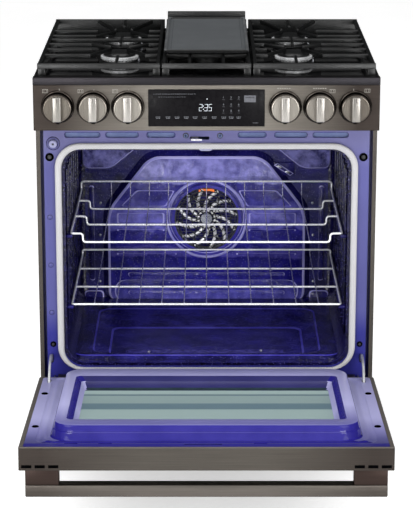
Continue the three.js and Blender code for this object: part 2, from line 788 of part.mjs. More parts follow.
function makeCooktopPan() {
  const slab = box(-bodyHalf, bodyHalf, panFront, bodyBack, panelTop + seat, panRim);
  const well = box(-bodyHalf + panRimWidth, bodyHalf - panRimWidth, panFront + panFrontRim,
    bodyBack - panBackRim, panFloor, panRim + 1);
  const under = box(-bodyHalf + sheet, bodyHalf - sheet, panFront + sheet, bodyBack - sheet,
    panelTop - 1, panFloor - sheet);
  const cuts = [well, under];
  for (const [, x, y] of burnerPlaces) {
    cuts.push(rodZ(x, y, panelTop, panRim + 1, burnerThroat + 1));
  }
  cuts.push(rodZ(0, centreBurnerY, panelTop, panRim + 1, burnerThroat + 1));
  for (let i = -3; i <= 3; i += 1) {
    cuts.push(box(i * 42 - 16, i * 42 + 16, bodyBack - panBackRim + 10, bodyBack - 10, panelTop, panRim + 1));
  }
  return shape([slab], cuts);
}
add('cooktop_pan', makeCooktopPan(), 'blackEnamel');

function makeFrontTrim() {
  const back = cooktopFront + trimDepth;
  const low = panelTop + seat;
  const form = outline([[cooktopFront, low], [cooktopFront + panelSheet, low],
    [cooktopFront + panelSheet, cooktopTop - panelSheet], [back, cooktopTop - panelSheet], [back, cooktopTop],
    [cooktopFront + 1, cooktopTop], [cooktopFront, cooktopTop - 1]]);
  return alongX(form, -bodyHalf, bodyHalf);
}
add('cooktop_front_trim', makeFrontTrim(), 'blackSteel');

for (const [name, x, y] of burnerPlaces) {
  const flange = panFloor + seat;
  const base = [[0, panFloor - burnerDrop], [burnerThroat, panFloor - burnerDrop], [burnerThroat, flange],
    [burnerRadius, flange], [burnerRadius, flange + 4], [burnerRadius - 7, flange + 7],
    [capRadius - 2, flange + 9], [capRadius - 2, capBottom - seat], [0, capBottom - seat]];
  add(`${name}_burner_base`, turned(base, x, y), 'burnerAluminium');
  const cap = [[0, capBottom], [capRadius, capBottom], [capRadius + 1, capBottom + 3],
    [capRadius - 2, capBottom + 7], [capRadius - 8, capBottom + capThick], [0, capBottom + capThick]];
  add(`${name}_burner_cap`, turned(cap, x, y), 'castIron');
}

function makeCentreBurner() {
  const low = panFloor + seat;
  const parts = [rodZ(0, centreBurnerY, panFloor - burnerDrop, low + 1, burnerThroat)];
  const layers = [[centreBurnerHalfWidth, low, low + 13],
    [centreBurnerHalfWidth + 3, low + 12, capBottom + capThick]];
  for (const [half, z0, z1] of layers) {
    const straight = centreBurnerHalfLength - half;
    parts.push(box(-half, half, centreBurnerY - straight, centreBurnerY + straight, z0, z1));
    parts.push(rodZ(0, centreBurnerY - straight, z0, z1, half));
    parts.push(rodZ(0, centreBurnerY + straight, z0, z1, half));
  }
  return shape(parts);
}
add('centre_burner', makeCentreBurner(), 'castIron');

// Grates and griddle.

const footTop = grateTop - grateFrontRail + 3;
const footLow = panFloor + seat;

// The closed frame of rails that every grate has, with its feet.
function grateFrame(x0, x1) {
  const w = grateRailWidth;
  const low = grateTop - grateFrontRail;
  const frame = [
    box(x0, x1, grateFront, grateFront + w, low, grateTop),
    box(x0, x1, grateBack - w, grateBack, grateTop - grateRearRail, grateTop),
    box(x0, x0 + w, grateFront + 1, grateBack - 1, low + 1, grateTop - grateStep / 2),
    box(x1 - w, x1, grateFront + 1, grateBack - 1, low + 1, grateTop - grateStep / 2),
  ];
  const footFront = panFront + panFrontRim + 2;
  const middle = (grateFront + grateBack) / 2;
  for (const [edge, inward] of [[x0, 1], [x1, -1]]) {
    const leg = ordered(edge + inward * 0.5, edge + inward * grateFoot);
    const pad = ordered(edge + inward * 0.5, edge + inward * (w - 1));
    frame.push(box(leg[0], leg[1], footFront, footFront + w, footLow, footTop));
    frame.push(box(pad[0], pad[1], middle - grateFoot / 2, middle + grateFoot / 2, footLow, footTop));
    frame.push(box(leg[0], leg[1], grateBack - w + 1, grateBack - 2, footLow, footTop));
  }
  return frame;
}

// The right grate; the left one is its mirror image.
function makeSideGrate() {
  const x0 = grateSplit + grateGap / 2;
  const x1 = grateOuter;
  const w = grateBarWidth;
  const top = grateTop - grateStep;
  const low = grateTop - grateBar;
  const [b1, b2, b3, b4, b5, b6] = grateBarPlaces;
  const parts = grateFrame(x0, x1);
  parts.push(box(x0 + 1, x1 - 1, b4 - w / 2, b4 + w / 2, low, top));
  for (const y of [b1, b2, b3, b5, b6]) {
    parts.push(box(x0 + 1, burnerX - fingerSpread, y - w / 2, y + w / 2, low, top));
    parts.push(box(burnerX + fingerSpread, x1 - 1, y - w / 2, y + w / 2, low, top));
  }
  const reach = burnerRadius / 3;
  const fingers = [[b1, burnerFrontY - reach], [b3, burnerFrontY + reach], [b5, burnerRearY - reach],
    [grateBack - grateRailWidth, burnerRearY + reach]];
  for (const [start, tip] of fingers) {
    for (const side of [-1, 1]) {
      parts.push(bar(burnerX + side * (fingerSpread + 1), start, burnerX + side * fingerReach, tip, w,
        low + grateStep, top - grateStep));
    }
  }
  const middleFingers = [[grateFront + 1, b1 - 14], [burnerFrontY + burnerRadius, b5],
    [burnerRearY + burnerRadius + 14, grateBack - 1]];
  for (const [y0, y1] of middleFingers) {
    parts.push(box(burnerX - w / 2, burnerX + w / 2, y0, y1, low + grateStep, top - grateStep));
  }
  return shape(parts);
}

add('left_grate', mirrored(makeSideGrate()), 'castIron');
add('right_grate', makeSideGrate(), 'castIron');

function makeCentreGrate() {
  const half = grateSplit - grateGap / 2;
  const w = grateBarWidth;
  const top = grateTop - grateStep;
  const low = grateTop - grateBar;
  const parts = grateFrame(-half, half);
  for (const y of centreBarPlaces) {
    parts.push(box(-half + 1, half - 1, y - w / 2, y + w / 2, low, top));
  }
  for (const [, side] of sides) {
    const x = side * half * 0.38;
    const spans = [[grateFront + 1, centreBarPlaces[0]], [centreBarPlaces.at(-1), grateBack - 1]];
    for (const [y0, y1] of spans) {
      parts.push(box(x - w / 2, x + w / 2, y0, y1, low + grateStep, top - grateStep));
    }
  }
  return shape(parts);
}
add('centre_grate', makeCentreGrate(), 'castIron');

function makeGriddle() {
  const under = grateTop + griddleStand;
  const face = under + griddlePlate;
  const rim = face + griddleRim;
  const w = griddleRimWidth;
  const parts = [
    box(-griddleHalf, griddleHalf, griddleFront, griddleBack, under, face),
    box(-griddleHalf, griddleHalf, griddleFront, griddleFront + w, under, rim),
    box(-griddleHalf, griddleHalf, griddleBack - w, griddleBack, under, face + griddleBackWall),
  ];
  for (const [, side] of sides) {
    const edge = ordered(side * griddleHalf, side * (griddleHalf - w));
    parts.push(box(edge[0], edge[1], griddleFront, griddleBack, under, rim));
  }
  for (const y of griddleRibPlaces) {
    parts.push(box(-griddleHalf + 12, griddleHalf - 12, y - w / 2, y + w / 2, grateTop + seat, under + 1));
  }
  const grooves = sides.map(([, side]) => {
    const edge = ordered(side * (griddleHalf - w - 4), side * (griddleHalf - w - 12));
    return box(edge[0], edge[1], griddleFront + w + 4, griddleBack - w - 4, face - 2, face + 1);
  });
  return shape(parts, grooves);
}
add('griddle', makeGriddle(), 'griddleIron');

// Lower trim and drawer.

function makeLowerTrim() {
  const back = -seat;
  const outer = [box(-kickHalf, kickHalf, lowerTrimFront, back, trimBottom, lowerTrimShoulder),
    box(-lowerTrimNeck, lowerTrimNeck, lowerTrimFront, back, trimBottom, trimTop)];
  const cuts = [
    box(-kickHalf + panelSheet, kickHalf - panelSheet, lowerTrimFront + panelSheet, back + 1,
      trimBottom + panelSheet, lowerTrimShoulder - panelSheet),
    box(-lowerTrimNeck + panelSheet, lowerTrimNeck - panelSheet, lowerTrimFront + panelSheet, back + 1,
      trimBottom + panelSheet, trimTop - panelSheet),
    box(-kickHalf - 1, -frameHalf - seat, -5, back + 1, trimBottom - 1, lowerTrimShoulder + 1),
    box(frameHalf + seat, kickHalf + 1, -5, back + 1, trimBottom - 1, lowerTrimShoulder + 1),
  ];
  for (let i = -3; i <= 3; i += 1) {
    for (let row = 0; row < 2; row += 1) {
      const x = i * louvrePitch;
      const z = trimBottom + 26 + row * 16;
      cuts.push(box(x - louvreLength / 2, x + louvreLength / 2, lowerTrimFront - 1,
        lowerTrimFront + panelSheet + 1, z, z + 5));
    }
  }
  return shape(outer, cuts);
}
add('lower_trim', makeLowerTrim(), 'blackSteel');

const drawerFrontBack = -6.3;
const drawerBoxFront = drawerFrontFace + panelSheet + seat;

function makeDrawerBox() {
  const outer = box(-drawerHalf, drawerHalf, drawerBoxFront, drawerBack, drawerFloor,
    drawerFloor + drawerWall);
  const inner = box(-drawerHalf + sheet, drawerHalf - sheet, drawerBoxFront + sheet, drawerBack - sheet,
    drawerFloor + sheet, drawerFloor + drawerWall + 1);
  return shape([outer], [inner]);
}
add('drawer_box', makeDrawerBox(), 'zinc');

function makeDrawerFront() {
  const back = drawerFrontBack;
  const outer = box(-kickHalf, kickHalf, drawerFrontFace, back, drawerFrontBottom, drawerFrontTop);
  const inner = box(-kickHalf + panelSheet, kickHalf - panelSheet, drawerFrontFace + panelSheet, back + 1,
    drawerFrontBottom + panelSheet, drawerFrontTop - panelSheet);
  return shape([outer], [inner]);
}
add('drawer_front', makeDrawerFront(), 'blackSteel');

// Oven door, drawn closed and then turned open about its hinge axis.

const door = new THREE.Group();
door.position.set(0, pivotY, pivotZ);
door.rotation.x = THREE.MathUtils.degToRad(openAngle);
range.add(door);

function addToDoor(name, geometry, finish) {
  add(name, geometry.translate(0, -pivotY, -pivotZ), finish, door);
}

const armSlots = sides.map(([, side]) => [side * armX - slotWide / 2, side * armX + slotWide / 2]);
const glassBack = doorInner + plugHeight - windowDepth;

function grow(rect, by) {
  return [rect[0] - by, rect[1] + by, rect[2] - by, rect[3] + by];
}
const outerRect = grow(windowFoot, -outerWindowInset);

function makeDoorSkin() {
  const outer = box(-doorHalf, doorHalf, doorOuter, doorInner, doorBottom, doorTop);
  const cuts = [
    box(-doorHalf + sheet, doorHalf - sheet, doorOuter + sheet, doorInner - sheet, doorBottom + sheet,
      doorTop - sheet),
    box(-doorHalf + doorLip, doorHalf - doorLip, doorInner - sheet - 1, doorInner + 1,
      doorBottom + doorEndLip, doorTop - doorEndLip),
    box(outerRect[0], outerRect[1], doorOuter - 1, doorOuter + sheet + 1, outerRect[2], outerRect[3]),
  ];
  for (const [x0, x1] of armSlots) {
    cuts.push(box(x0, x1, pivotY - armWidth / 2 - 3, pivotY + armWidth / 2 + 3, doorBottom - 1,
      doorBottom + sheet + 1));
  }
  for (const [, side] of sides) {
    for (let i = 0; i < 3; i += 1) {
      const x = side * (doorHalf - dashInset - i * dashPitch);
      cuts.push(box(x - 10.5, x + 10.5, doorOuter + 5, doorOuter + 11, doorTop - sheet - 1, doorTop + 1));
    }
  }
  return shape([outer], cuts);
}
addToDoor('door_skin', makeDoorSkin(), 'blackSteel');

function makeInnerPanel() {
  const t = panelSheet;
  const plugFace = doorInner + plugHeight;
  const rim = box(-doorHalf + doorLip + seat, doorHalf - doorLip - seat, doorInner - sheet, doorInner,
    doorBottom + doorEndLip + seat, doorTop - doorEndLip - seat);
  const plug = taperForm(plugBase, plugCrown, plugCorner, doorInner - 0.5, plugFace);
  const inside = taperForm(grow(plugBase, -t), grow(plugCrown, -t), plugCorner - t, doorInner - sheet - 1,
    plugFace - t);
  const hollow = toSolid(inside)
    .subtract(toSolid(taperBox(grow(windowFoot, t), grow(windowRim, t), glassBack, plugFace + 1)));
  const window = taperBox(windowFoot, windowRim, glassBack - 1, plugFace + 0.1);
  const slotLow = pivotZ + armRadius - 18;
  const cuts = armSlots.map(([x0, x1]) => box(x0, x1, doorInner - 3, doorInner + 1, slotLow, slotLow + 25));
  cuts.push(box(latchLeft - 3, latchRight + latchSlide + 2, doorInner - 3, doorInner + 1, latchLow - 5,
    latchHigh + 5));
  return toGeometry(join([rim, plug]).subtract(hollow).subtract(join([window, ...cuts])));
}
addToDoor('door_inner_panel', makeInnerPanel(), 'enamelBlue');

// Inner and outer panes on one tunnel that spaces them, with vent slots top and bottom.
function makeDoorGlass() {
  const inner = grow(windowFoot, paneLap);
  const outer = grow(outerRect, paneLap);
  const innerPane = [glassBack - seat - paneThick, glassBack - seat];
  const outerPane = [doorOuter + sheet + seat, doorOuter + sheet + seat + paneThick];
  const parts = [box(inner[0], inner[1], innerPane[0], innerPane[1], inner[2], inner[3]),
    box(outer[0], outer[1], outerPane[0], outerPane[1], outer[2], outer[3])];
  const wall = grow(outer, -2);
  const tunnel = toSolid(box(wall[0], wall[1], outerPane[0] + 1, innerPane[1] - 1, wall[2], wall[3]))
    .subtract(toSolid(box(wall[0] + tunnelWall, wall[1] - tunnelWall, outerPane[1] - 1, innerPane[0] + 1,
      wall[2] + tunnelWall, wall[3] - tunnelWall)));
  const vents = [];
  for (let i = -1; i <= 1; i += 1) {
    const x = i * glassVentPitch;
    const y = (outerPane[1] + innerPane[0]) / 2;
    vents.push(box(x - glassVentLength / 2, x + glassVentLength / 2, y - glassVentWidth / 2,
      y + glassVentWidth / 2, wall[2] - 1, wall[3] + 1));
  }
  return toGeometry(tunnel.add(join(parts)).subtract(join(vents)));
}
addToDoor('door_glass', makeDoorGlass(), 'clearGlass');

function makeHandle() {
  const barBack = doorOuter - handleStandOff;
  const low = handleTop - handleHeight;
  const postLow = low + (handleHeight - postHeight) / 2;
  const parts = [box(-handleHalf, handleHalf, barBack - handleDepth, barBack, low, handleTop)];
  for (const [, side] of sides) {
    const post = ordered(side * (handleHalf - postWidth), side * handleHalf);
    parts.push(box(post[0], post[1], barBack - 1, doorOuter - seat, postLow, postLow + postHeight));
  }
  return shape(parts);
}
addToDoor('door_handle', makeHandle(), 'blackSteel');

function makeArm(side) {
  const turn = (degrees, radius) => {
    const angle = THREE.MathUtils.degToRad(90 - degrees);
    return [pivotY + radius * Math.cos(angle), pivotZ + radius * Math.sin(angle)];
  };
  const points = [];
  const steps = 10;
  for (let i = 0; i <= steps; i += 1) {
    points.push(turn((i / steps) * armEnd, armRadius + armWidth / 2));
  }
  for (let i = steps; i >= 0; i -= 1) {
    points.push(turn((i / steps) * armEnd, armRadius - armWidth / 2));
  }
  const x0 = side * armX - armThick / 2;
  const x1 = side * armX + armThick / 2;
  const leg = box(x0, x1, pivotY - armWidth / 2, pivotY + armWidth / 2, pivotZ,
    pivotZ + armRadius + armWidth / 2);
  const lug = box(x0, x1, pivotY, doorInner - sheet - seat, doorBottom + doorEndLip + 2, pivotZ + 44);
  const boss = rodX(x0, x1, pivotY, pivotZ, bossRadius, 20);
  const hole = rodX(x0 - 1, x1 + 1, pivotY, pivotZ, pinRadius + seat, 20);
  return shape([alongX(outline(points), x0, x1), leg, lug, boss], [hole]);
}
for (const [sideName, side] of sides) {
  addToDoor(`${sideName}_hinge_arm`, makeArm(side), 'zinc');
}

// Light switch and door latch.

const switchProfile = [[0, -switchReach], [switchRadius - 2, -switchReach], [switchRadius, -switchReach + 2],
  [switchRadius, switchBehind], [0, switchBehind]];
add('light_switch_button', turnedY(switchProfile, switchX, switchZ, 20), 'palePlastic');

function makeLatch() {
  const tongue = box(latchLeft, latchRight, -latchReach, latchTail, latchLow, latchHigh);
  const tab = box(latchRight - 1, latchRight + latchTab, -latchReach, -latchReach + 4, latchLow, latchHigh);
  return shape([tongue, tab]);
}
add('door_latch', makeLatch(), 'chrome');

// The origin stands on the floor at the middle of the whole range's box.
const extent = new THREE.Box3().setFromObject(range);
range.position.y = -(extent.min.y + extent.max.y) / 2;

export default range;
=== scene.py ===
import json
import math

import bmesh
import bpy
from mathutils import Matrix, Vector


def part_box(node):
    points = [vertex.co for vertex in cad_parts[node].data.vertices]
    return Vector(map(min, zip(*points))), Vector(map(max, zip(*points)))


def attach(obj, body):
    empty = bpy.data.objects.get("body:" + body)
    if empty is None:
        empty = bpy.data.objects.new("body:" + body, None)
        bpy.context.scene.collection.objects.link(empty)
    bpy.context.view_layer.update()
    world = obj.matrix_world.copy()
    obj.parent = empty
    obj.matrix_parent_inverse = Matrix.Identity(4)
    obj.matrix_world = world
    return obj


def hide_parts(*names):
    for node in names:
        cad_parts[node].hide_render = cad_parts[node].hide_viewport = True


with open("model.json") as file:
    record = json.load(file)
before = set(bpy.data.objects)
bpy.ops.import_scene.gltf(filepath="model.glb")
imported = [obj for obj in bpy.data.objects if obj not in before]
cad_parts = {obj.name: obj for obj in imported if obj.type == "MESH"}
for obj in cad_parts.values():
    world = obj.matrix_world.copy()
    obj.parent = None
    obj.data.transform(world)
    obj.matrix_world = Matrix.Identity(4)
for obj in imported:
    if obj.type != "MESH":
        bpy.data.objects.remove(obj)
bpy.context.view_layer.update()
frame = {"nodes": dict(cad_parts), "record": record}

bodyOf = {node: body for body, nodes in frame["record"]["behaviour"]["bodies"].items() for node in nodes}

# Every shape is drawn in millimetres from the blue frame's face and set down in metres. The door's
# pieces are drawn shut and turned open about the hinge.
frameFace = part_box("oven_cavity")[0].y * 1000 - 1.5
hinge = {"y": -36, "z": 204, "openAngle": math.radians(86)}
sides = ((-1, "left"), (1, "right"))
print("frame loaded:", len(bodyOf), "nodes")


# Colours and shader nodes: each of these but the material's own gives back a socket

def fromHex(colour):
    parts = [int(colour[i:i + 2], 16) / 255 for i in (1, 3, 5)]
    return [c / 12.92 if c <= 0.04045 else ((c + 0.055) / 1.055) ** 2.4 for c in parts] + [1.0]


def addNode(tree, kind, inputs=None, **settings):
    node = tree.nodes.new(kind)
    for name, value in settings.items():
        setattr(node, name, value)
    for name, value in (inputs or {}).items():
        if isinstance(value, bpy.types.NodeSocket):
            tree.links.new(value, node.inputs[name])
        else:
            node.inputs[name].default_value = value
    return node


def maths(tree, operation, *values):
    return addNode(tree, "ShaderNodeMath", dict(enumerate(values)), operation=operation).outputs[0]


def remap(tree, value, start=0.3, end=0.7, low=0.0, high=1.0):
    return addNode(tree, "ShaderNodeMapRange", {"Value": value, "From Min": start, "From Max": end,
                                                "To Min": low, "To Max": high}).outputs["Result"]


def mix(tree, factor, first, second, **settings):
    return addNode(tree, "ShaderNodeMix", {"Factor": factor, "A": first, "B": second}, data_type="RGBA",
                   **settings).outputs["Result"]


def bumped(tree, height, strength, relief):
    return addNode(tree, "ShaderNodeBump", {"Height": height, "Strength": strength,
                                            "Distance": relief}).outputs["Normal"]


def oneAxis(tree, place, axis):
    return addNode(tree, "ShaderNodeSeparateXYZ", {0: place}).outputs[axis]


# Noise whose grain has the given real size.
def noise(tree, place, grain, detail=2.0):
    return addNode(tree, "ShaderNodeTexNoise", {"Vector": place, "Scale": 1000 / grain,
                                                "Detail": detail}).outputs["Fac"]


def colourRamp(tree, value, stops):
    ramp = addNode(tree, "ShaderNodeValToRGB", {"Fac": value})
    marks = ramp.color_ramp.elements
    marks[0].position, marks[1].position = stops[0][0], stops[-1][0]
    for at, _ in stops[1:-1]:
        marks.new(at)
    for mark, (_, colour) in zip(marks, stops):
        mark.color = fromHex(colour)
    return ramp.outputs["Color"]


def mottle(tree, place, grain, colours, start=0.35, end=0.65, detail=3.0):
    return colourRamp(tree, noise(tree, place, grain, detail), ((start, colours[0]), (end, colours[1])))


def startMaterial(name):
    material = bpy.data.materials.new(name)
    material.use_nodes = True
    tree = material.node_tree
    tree.nodes.clear()
    return material, tree, addNode(tree, "ShaderNodeTexCoord").outputs["Object"]


def closeMaterial(material, colour, roughness, **inputs):
    named = {name.replace("_", " "): value for name, value in inputs.items()}
    shader = addNode(material.node_tree, "ShaderNodeBsdfPrincipled",
                     {"Base Color": colour, "Roughness": roughness, **named})
    addNode(material.node_tree, "ShaderNodeOutputMaterial", {"Surface": shader.outputs[0]})
    return material


# Vitreous enamel: glass frit sprayed on steel and fired. Glossy, with a slow orange peel from the
# spray and fine pale flecks in the frit. Zones along one axis multiply the colour by painted light and
# shade, in bands whose borders can drift by some millimetres.
frit = {"fleck": 5, "fleckCore": 0.1, "fleckRim": 0.22, "slowPeel": 9, "finePeel": 3, "fineShare": 0.25,
        "relief": 0.0012, "driftGrain": 55}


def enamel(name, colours, flecks, peel=0.6, roughness=0.12, index=1.4, fleckAmount=0.4, patch=60, zones=None,
           axis="Z", uneven=0.4, drift=0):
    material, tree, place = startMaterial(name)
    base = mottle(tree, place, patch, colours)
    # Painted light and shade: a ramp of tones along the axis, multiplied into the colour
    if zones:
        first, last = zones[0][0], zones[-1][0]
        moved = maths(tree, "MULTIPLY_ADD", noise(tree, place, frit["driftGrain"], 3.0), drift / 1000,
                      oneAxis(tree, place, axis))
        along = remap(tree, moved, (first + drift / 2) / 1000, (last + drift / 2) / 1000)
        paintedLightAndShade = colourRamp(tree, along, [((at - first) / (last - first), colour) for at, colour in zones])
        base = mix(tree, 1.0, paintedLightAndShade, base, blend_type="MULTIPLY")
    fleck = addNode(tree, "ShaderNodeTexVoronoi", {"Vector": place, "Scale": 1000 / frit["fleck"]})
    dots = remap(tree, fleck.outputs["Distance"], frit["fleckCore"], frit["fleckRim"], fleckAmount, 0.0)
    slow = noise(tree, place, frit["slowPeel"])
    height = maths(tree, "MULTIPLY_ADD", noise(tree, place, frit["finePeel"], 1.0), frit["fineShare"], slow)
    gloss = remap(tree, slow, low=roughness * (1 - uneven), high=roughness * (1 + uneven))
    return closeMaterial(material, mix(tree, dots, base, fromHex(flecks)), gloss, IOR=index,
                         Normal=bumped(tree, height, peel, frit["relief"]))


# Brushed metal: grit drawn along one axis leaves lines about 0.4 mm apart, here 1 mm so that they show.
# The tint varies slowly along the brushing, as the plated film's thickness does. A paler tone towards
# the cooker's middle, set by the place across it, is a painted reflection.
brush = {"stroke": 120, "patch": 220, "paintedSheenTo": 0.12, "paintedSheenEnd": 0.33, "scratch": (0.82, 1.12), "relief": 0.0003}


def brushed(name, colours, along="X", roughness=0.35, metallic=0.9, line=1.0, depth=0.25, paintedSheen=None):
    material, tree, place = startMaterial(name)
    long, fine = 1000 / brush["stroke"], 1000 / line
    stretch = {"X": (long, fine, fine), "Z": (fine, fine, long)}[along]
    mapping = addNode(tree, "ShaderNodeMapping", {"Vector": place, "Scale": stretch})
    lines = addNode(tree, "ShaderNodeTexNoise", {"Vector": mapping.outputs[0], "Scale": 1.0, "Detail": 4.0,
                                                 "Roughness": 0.65}).outputs["Fac"]
    tone = mottle(tree, place, brush["patch"], colours, 0.3, 0.7, 2.0)
    # Painted reflection: a paler tone towards the cooker's middle, set by the place across it
    if paintedSheen:
        away = maths(tree, "ABSOLUTE", oneAxis(tree, place, "X"))
        tone = mix(tree, remap(tree, away, brush["paintedSheenTo"], brush["paintedSheenEnd"], 1.0, 0.0), tone, fromHex(paintedSheen))
    scratch = remap(tree, lines, low=brush["scratch"][0], high=brush["scratch"][1])
    colour = addNode(tree, "ShaderNodeVectorMath", {0: tone, 1: scratch}, operation="MULTIPLY").outputs[0]
    satin = remap(tree, lines, low=roughness * 0.8, high=roughness * 1.3)
    return closeMaterial(material, colour, satin, Metallic=metallic,
                         Normal=bumped(tree, lines, depth, brush["relief"]))


# Cast iron is poured in sand and keeps the sand's grain, about 1 mm. Moulded plastic and paint have a
# finer grain. Plated wire and screws are bright, with faint draw marks.
grains = {
    "cast": {"patch": 35, "grain": 1.4, "detail": 3.0, "depth": 0.5, "relief": 0.0005, "spread": (0.8, 1.2)},
    "moulded": {"patch": 25, "grain": 0.8, "detail": 2.0, "depth": 0.2, "relief": 0.0002, "spread": (0.85, 1.15)},
    "plated": {"patch": 18, "grain": 2, "detail": 2.0, "depth": 0, "spread": (0.6, 1.5)},
}


def grained(kind, name, colours, roughness=0.5, metallic=0.0, sheen=0.5, depth=None):
    g = grains[kind]
    material, tree, place = startMaterial(name)
    grain = noise(tree, place, g["grain"], g["detail"])
    smooth, rough = g["spread"]
    inputs = {"Metallic": metallic, "Specular_IOR_Level": sheen}
    if g["depth"]:
        inputs["Normal"] = bumped(tree, grain, g["depth"] if depth is None else depth, g["relief"])
    return closeMaterial(material, mottle(tree, place, g["patch"], colours),
                         remap(tree, grain, low=roughness * smooth, high=roughness * rough), **inputs)


# Hot-dip galvanised sheet: zinc crystals leave a spangle of pale and dark grains, about 12 mm across.
def galvanised(name):
    material, tree, place = startMaterial(name)
    spangle = addNode(tree, "ShaderNodeTexVoronoi", {"Vector": place, "Scale": 1000 / 12}).outputs["Color"]
    return closeMaterial(material, colourRamp(tree, spangle, ((0, "#a6a9ac"), (1, "#bfc2c4"))),
                         remap(tree, spangle, 0, 1, 0.32, 0.5), Metallic=0.85)


# Braided fibreglass: pale yarns cross on the slant, 14 mm apart, and leave a soft woven bump.
def braided(name):
    material, tree, place = startMaterial(name)
    bands = []
    for slant in (45, -45):
        turn = addNode(tree, "ShaderNodeMapping", {"Vector": place, "Rotation": (0, math.radians(slant), 0)})
        wave = addNode(tree, "ShaderNodeTexWave", {"Vector": turn.outputs[0], "Scale": 1000 / 14,
                                                   "Distortion": 0.6, "Detail": 1.0}, bands_direction="X")
        bands.append(wave.outputs["Fac"])
    weave = maths(tree, "MULTIPLY", *bands)
    return closeMaterial(material, mix(tree, weave, fromHex("#a9a8aa"), fromHex("#b9b8ba")), 0.85,
                         Sheen_Weight=0.3, Normal=bumped(tree, weave, 0.2, 0.0004))


# Float glass with a low-emission coating: a grey-green sheet, with paler and darker bands painted along it where the
# panes under it show through: painted reflection and shade.
paintedPaneBands = {
    "near": 0.47, "far": 0.15,
    "stops": ((0.0, "#9eb2b0"), (0.44, "#9ab0ad"), (0.455, "#657d86"), (0.59, "#69828a"), (0.605, "#90a5a3"),
              (0.795, "#96aba9"), (0.805, "#5a727c"), (0.825, "#5a727c"), (0.835, "#a2b8b4"), (0.925, "#b0c6c2"),
              (0.935, "#2a3b50")),
}


def coatedGlass(name):
    material, tree, place = startMaterial(name)
    hingeLine = (hinge["y"] + frameFace) / 1000
    # Painted reflection and shade: bands of colour along the door
    along = remap(tree, oneAxis(tree, place, "Y"), hingeLine - paintedPaneBands["near"], hingeLine - paintedPaneBands["far"])
    film = remap(tree, noise(tree, place, 90, 1.0), 0, 1, 0.4, 0.5)
    return closeMaterial(material, colourRamp(tree, along, paintedPaneBands["stops"]), film, IOR=1.5,
                         Specular_IOR_Level=0.12, Transmission_Weight=0.12)


# Printed or lit marks under the glass: flat ink with a faint glow.
def litInk(name, colour, edge, glow):
    material, tree, place = startMaterial(name)
    return closeMaterial(material, mottle(tree, place, 4, (edge, colour)), 0.4,
                         Emission_Color=fromHex(colour), Emission_Strength=glow)


# Enamel that faces the room: smooth and softly lit.
lit = {"peel": 0.0, "roughness": 0.3, "index": 1.35, "fleckAmount": 0.0, "uneven": 0.03}

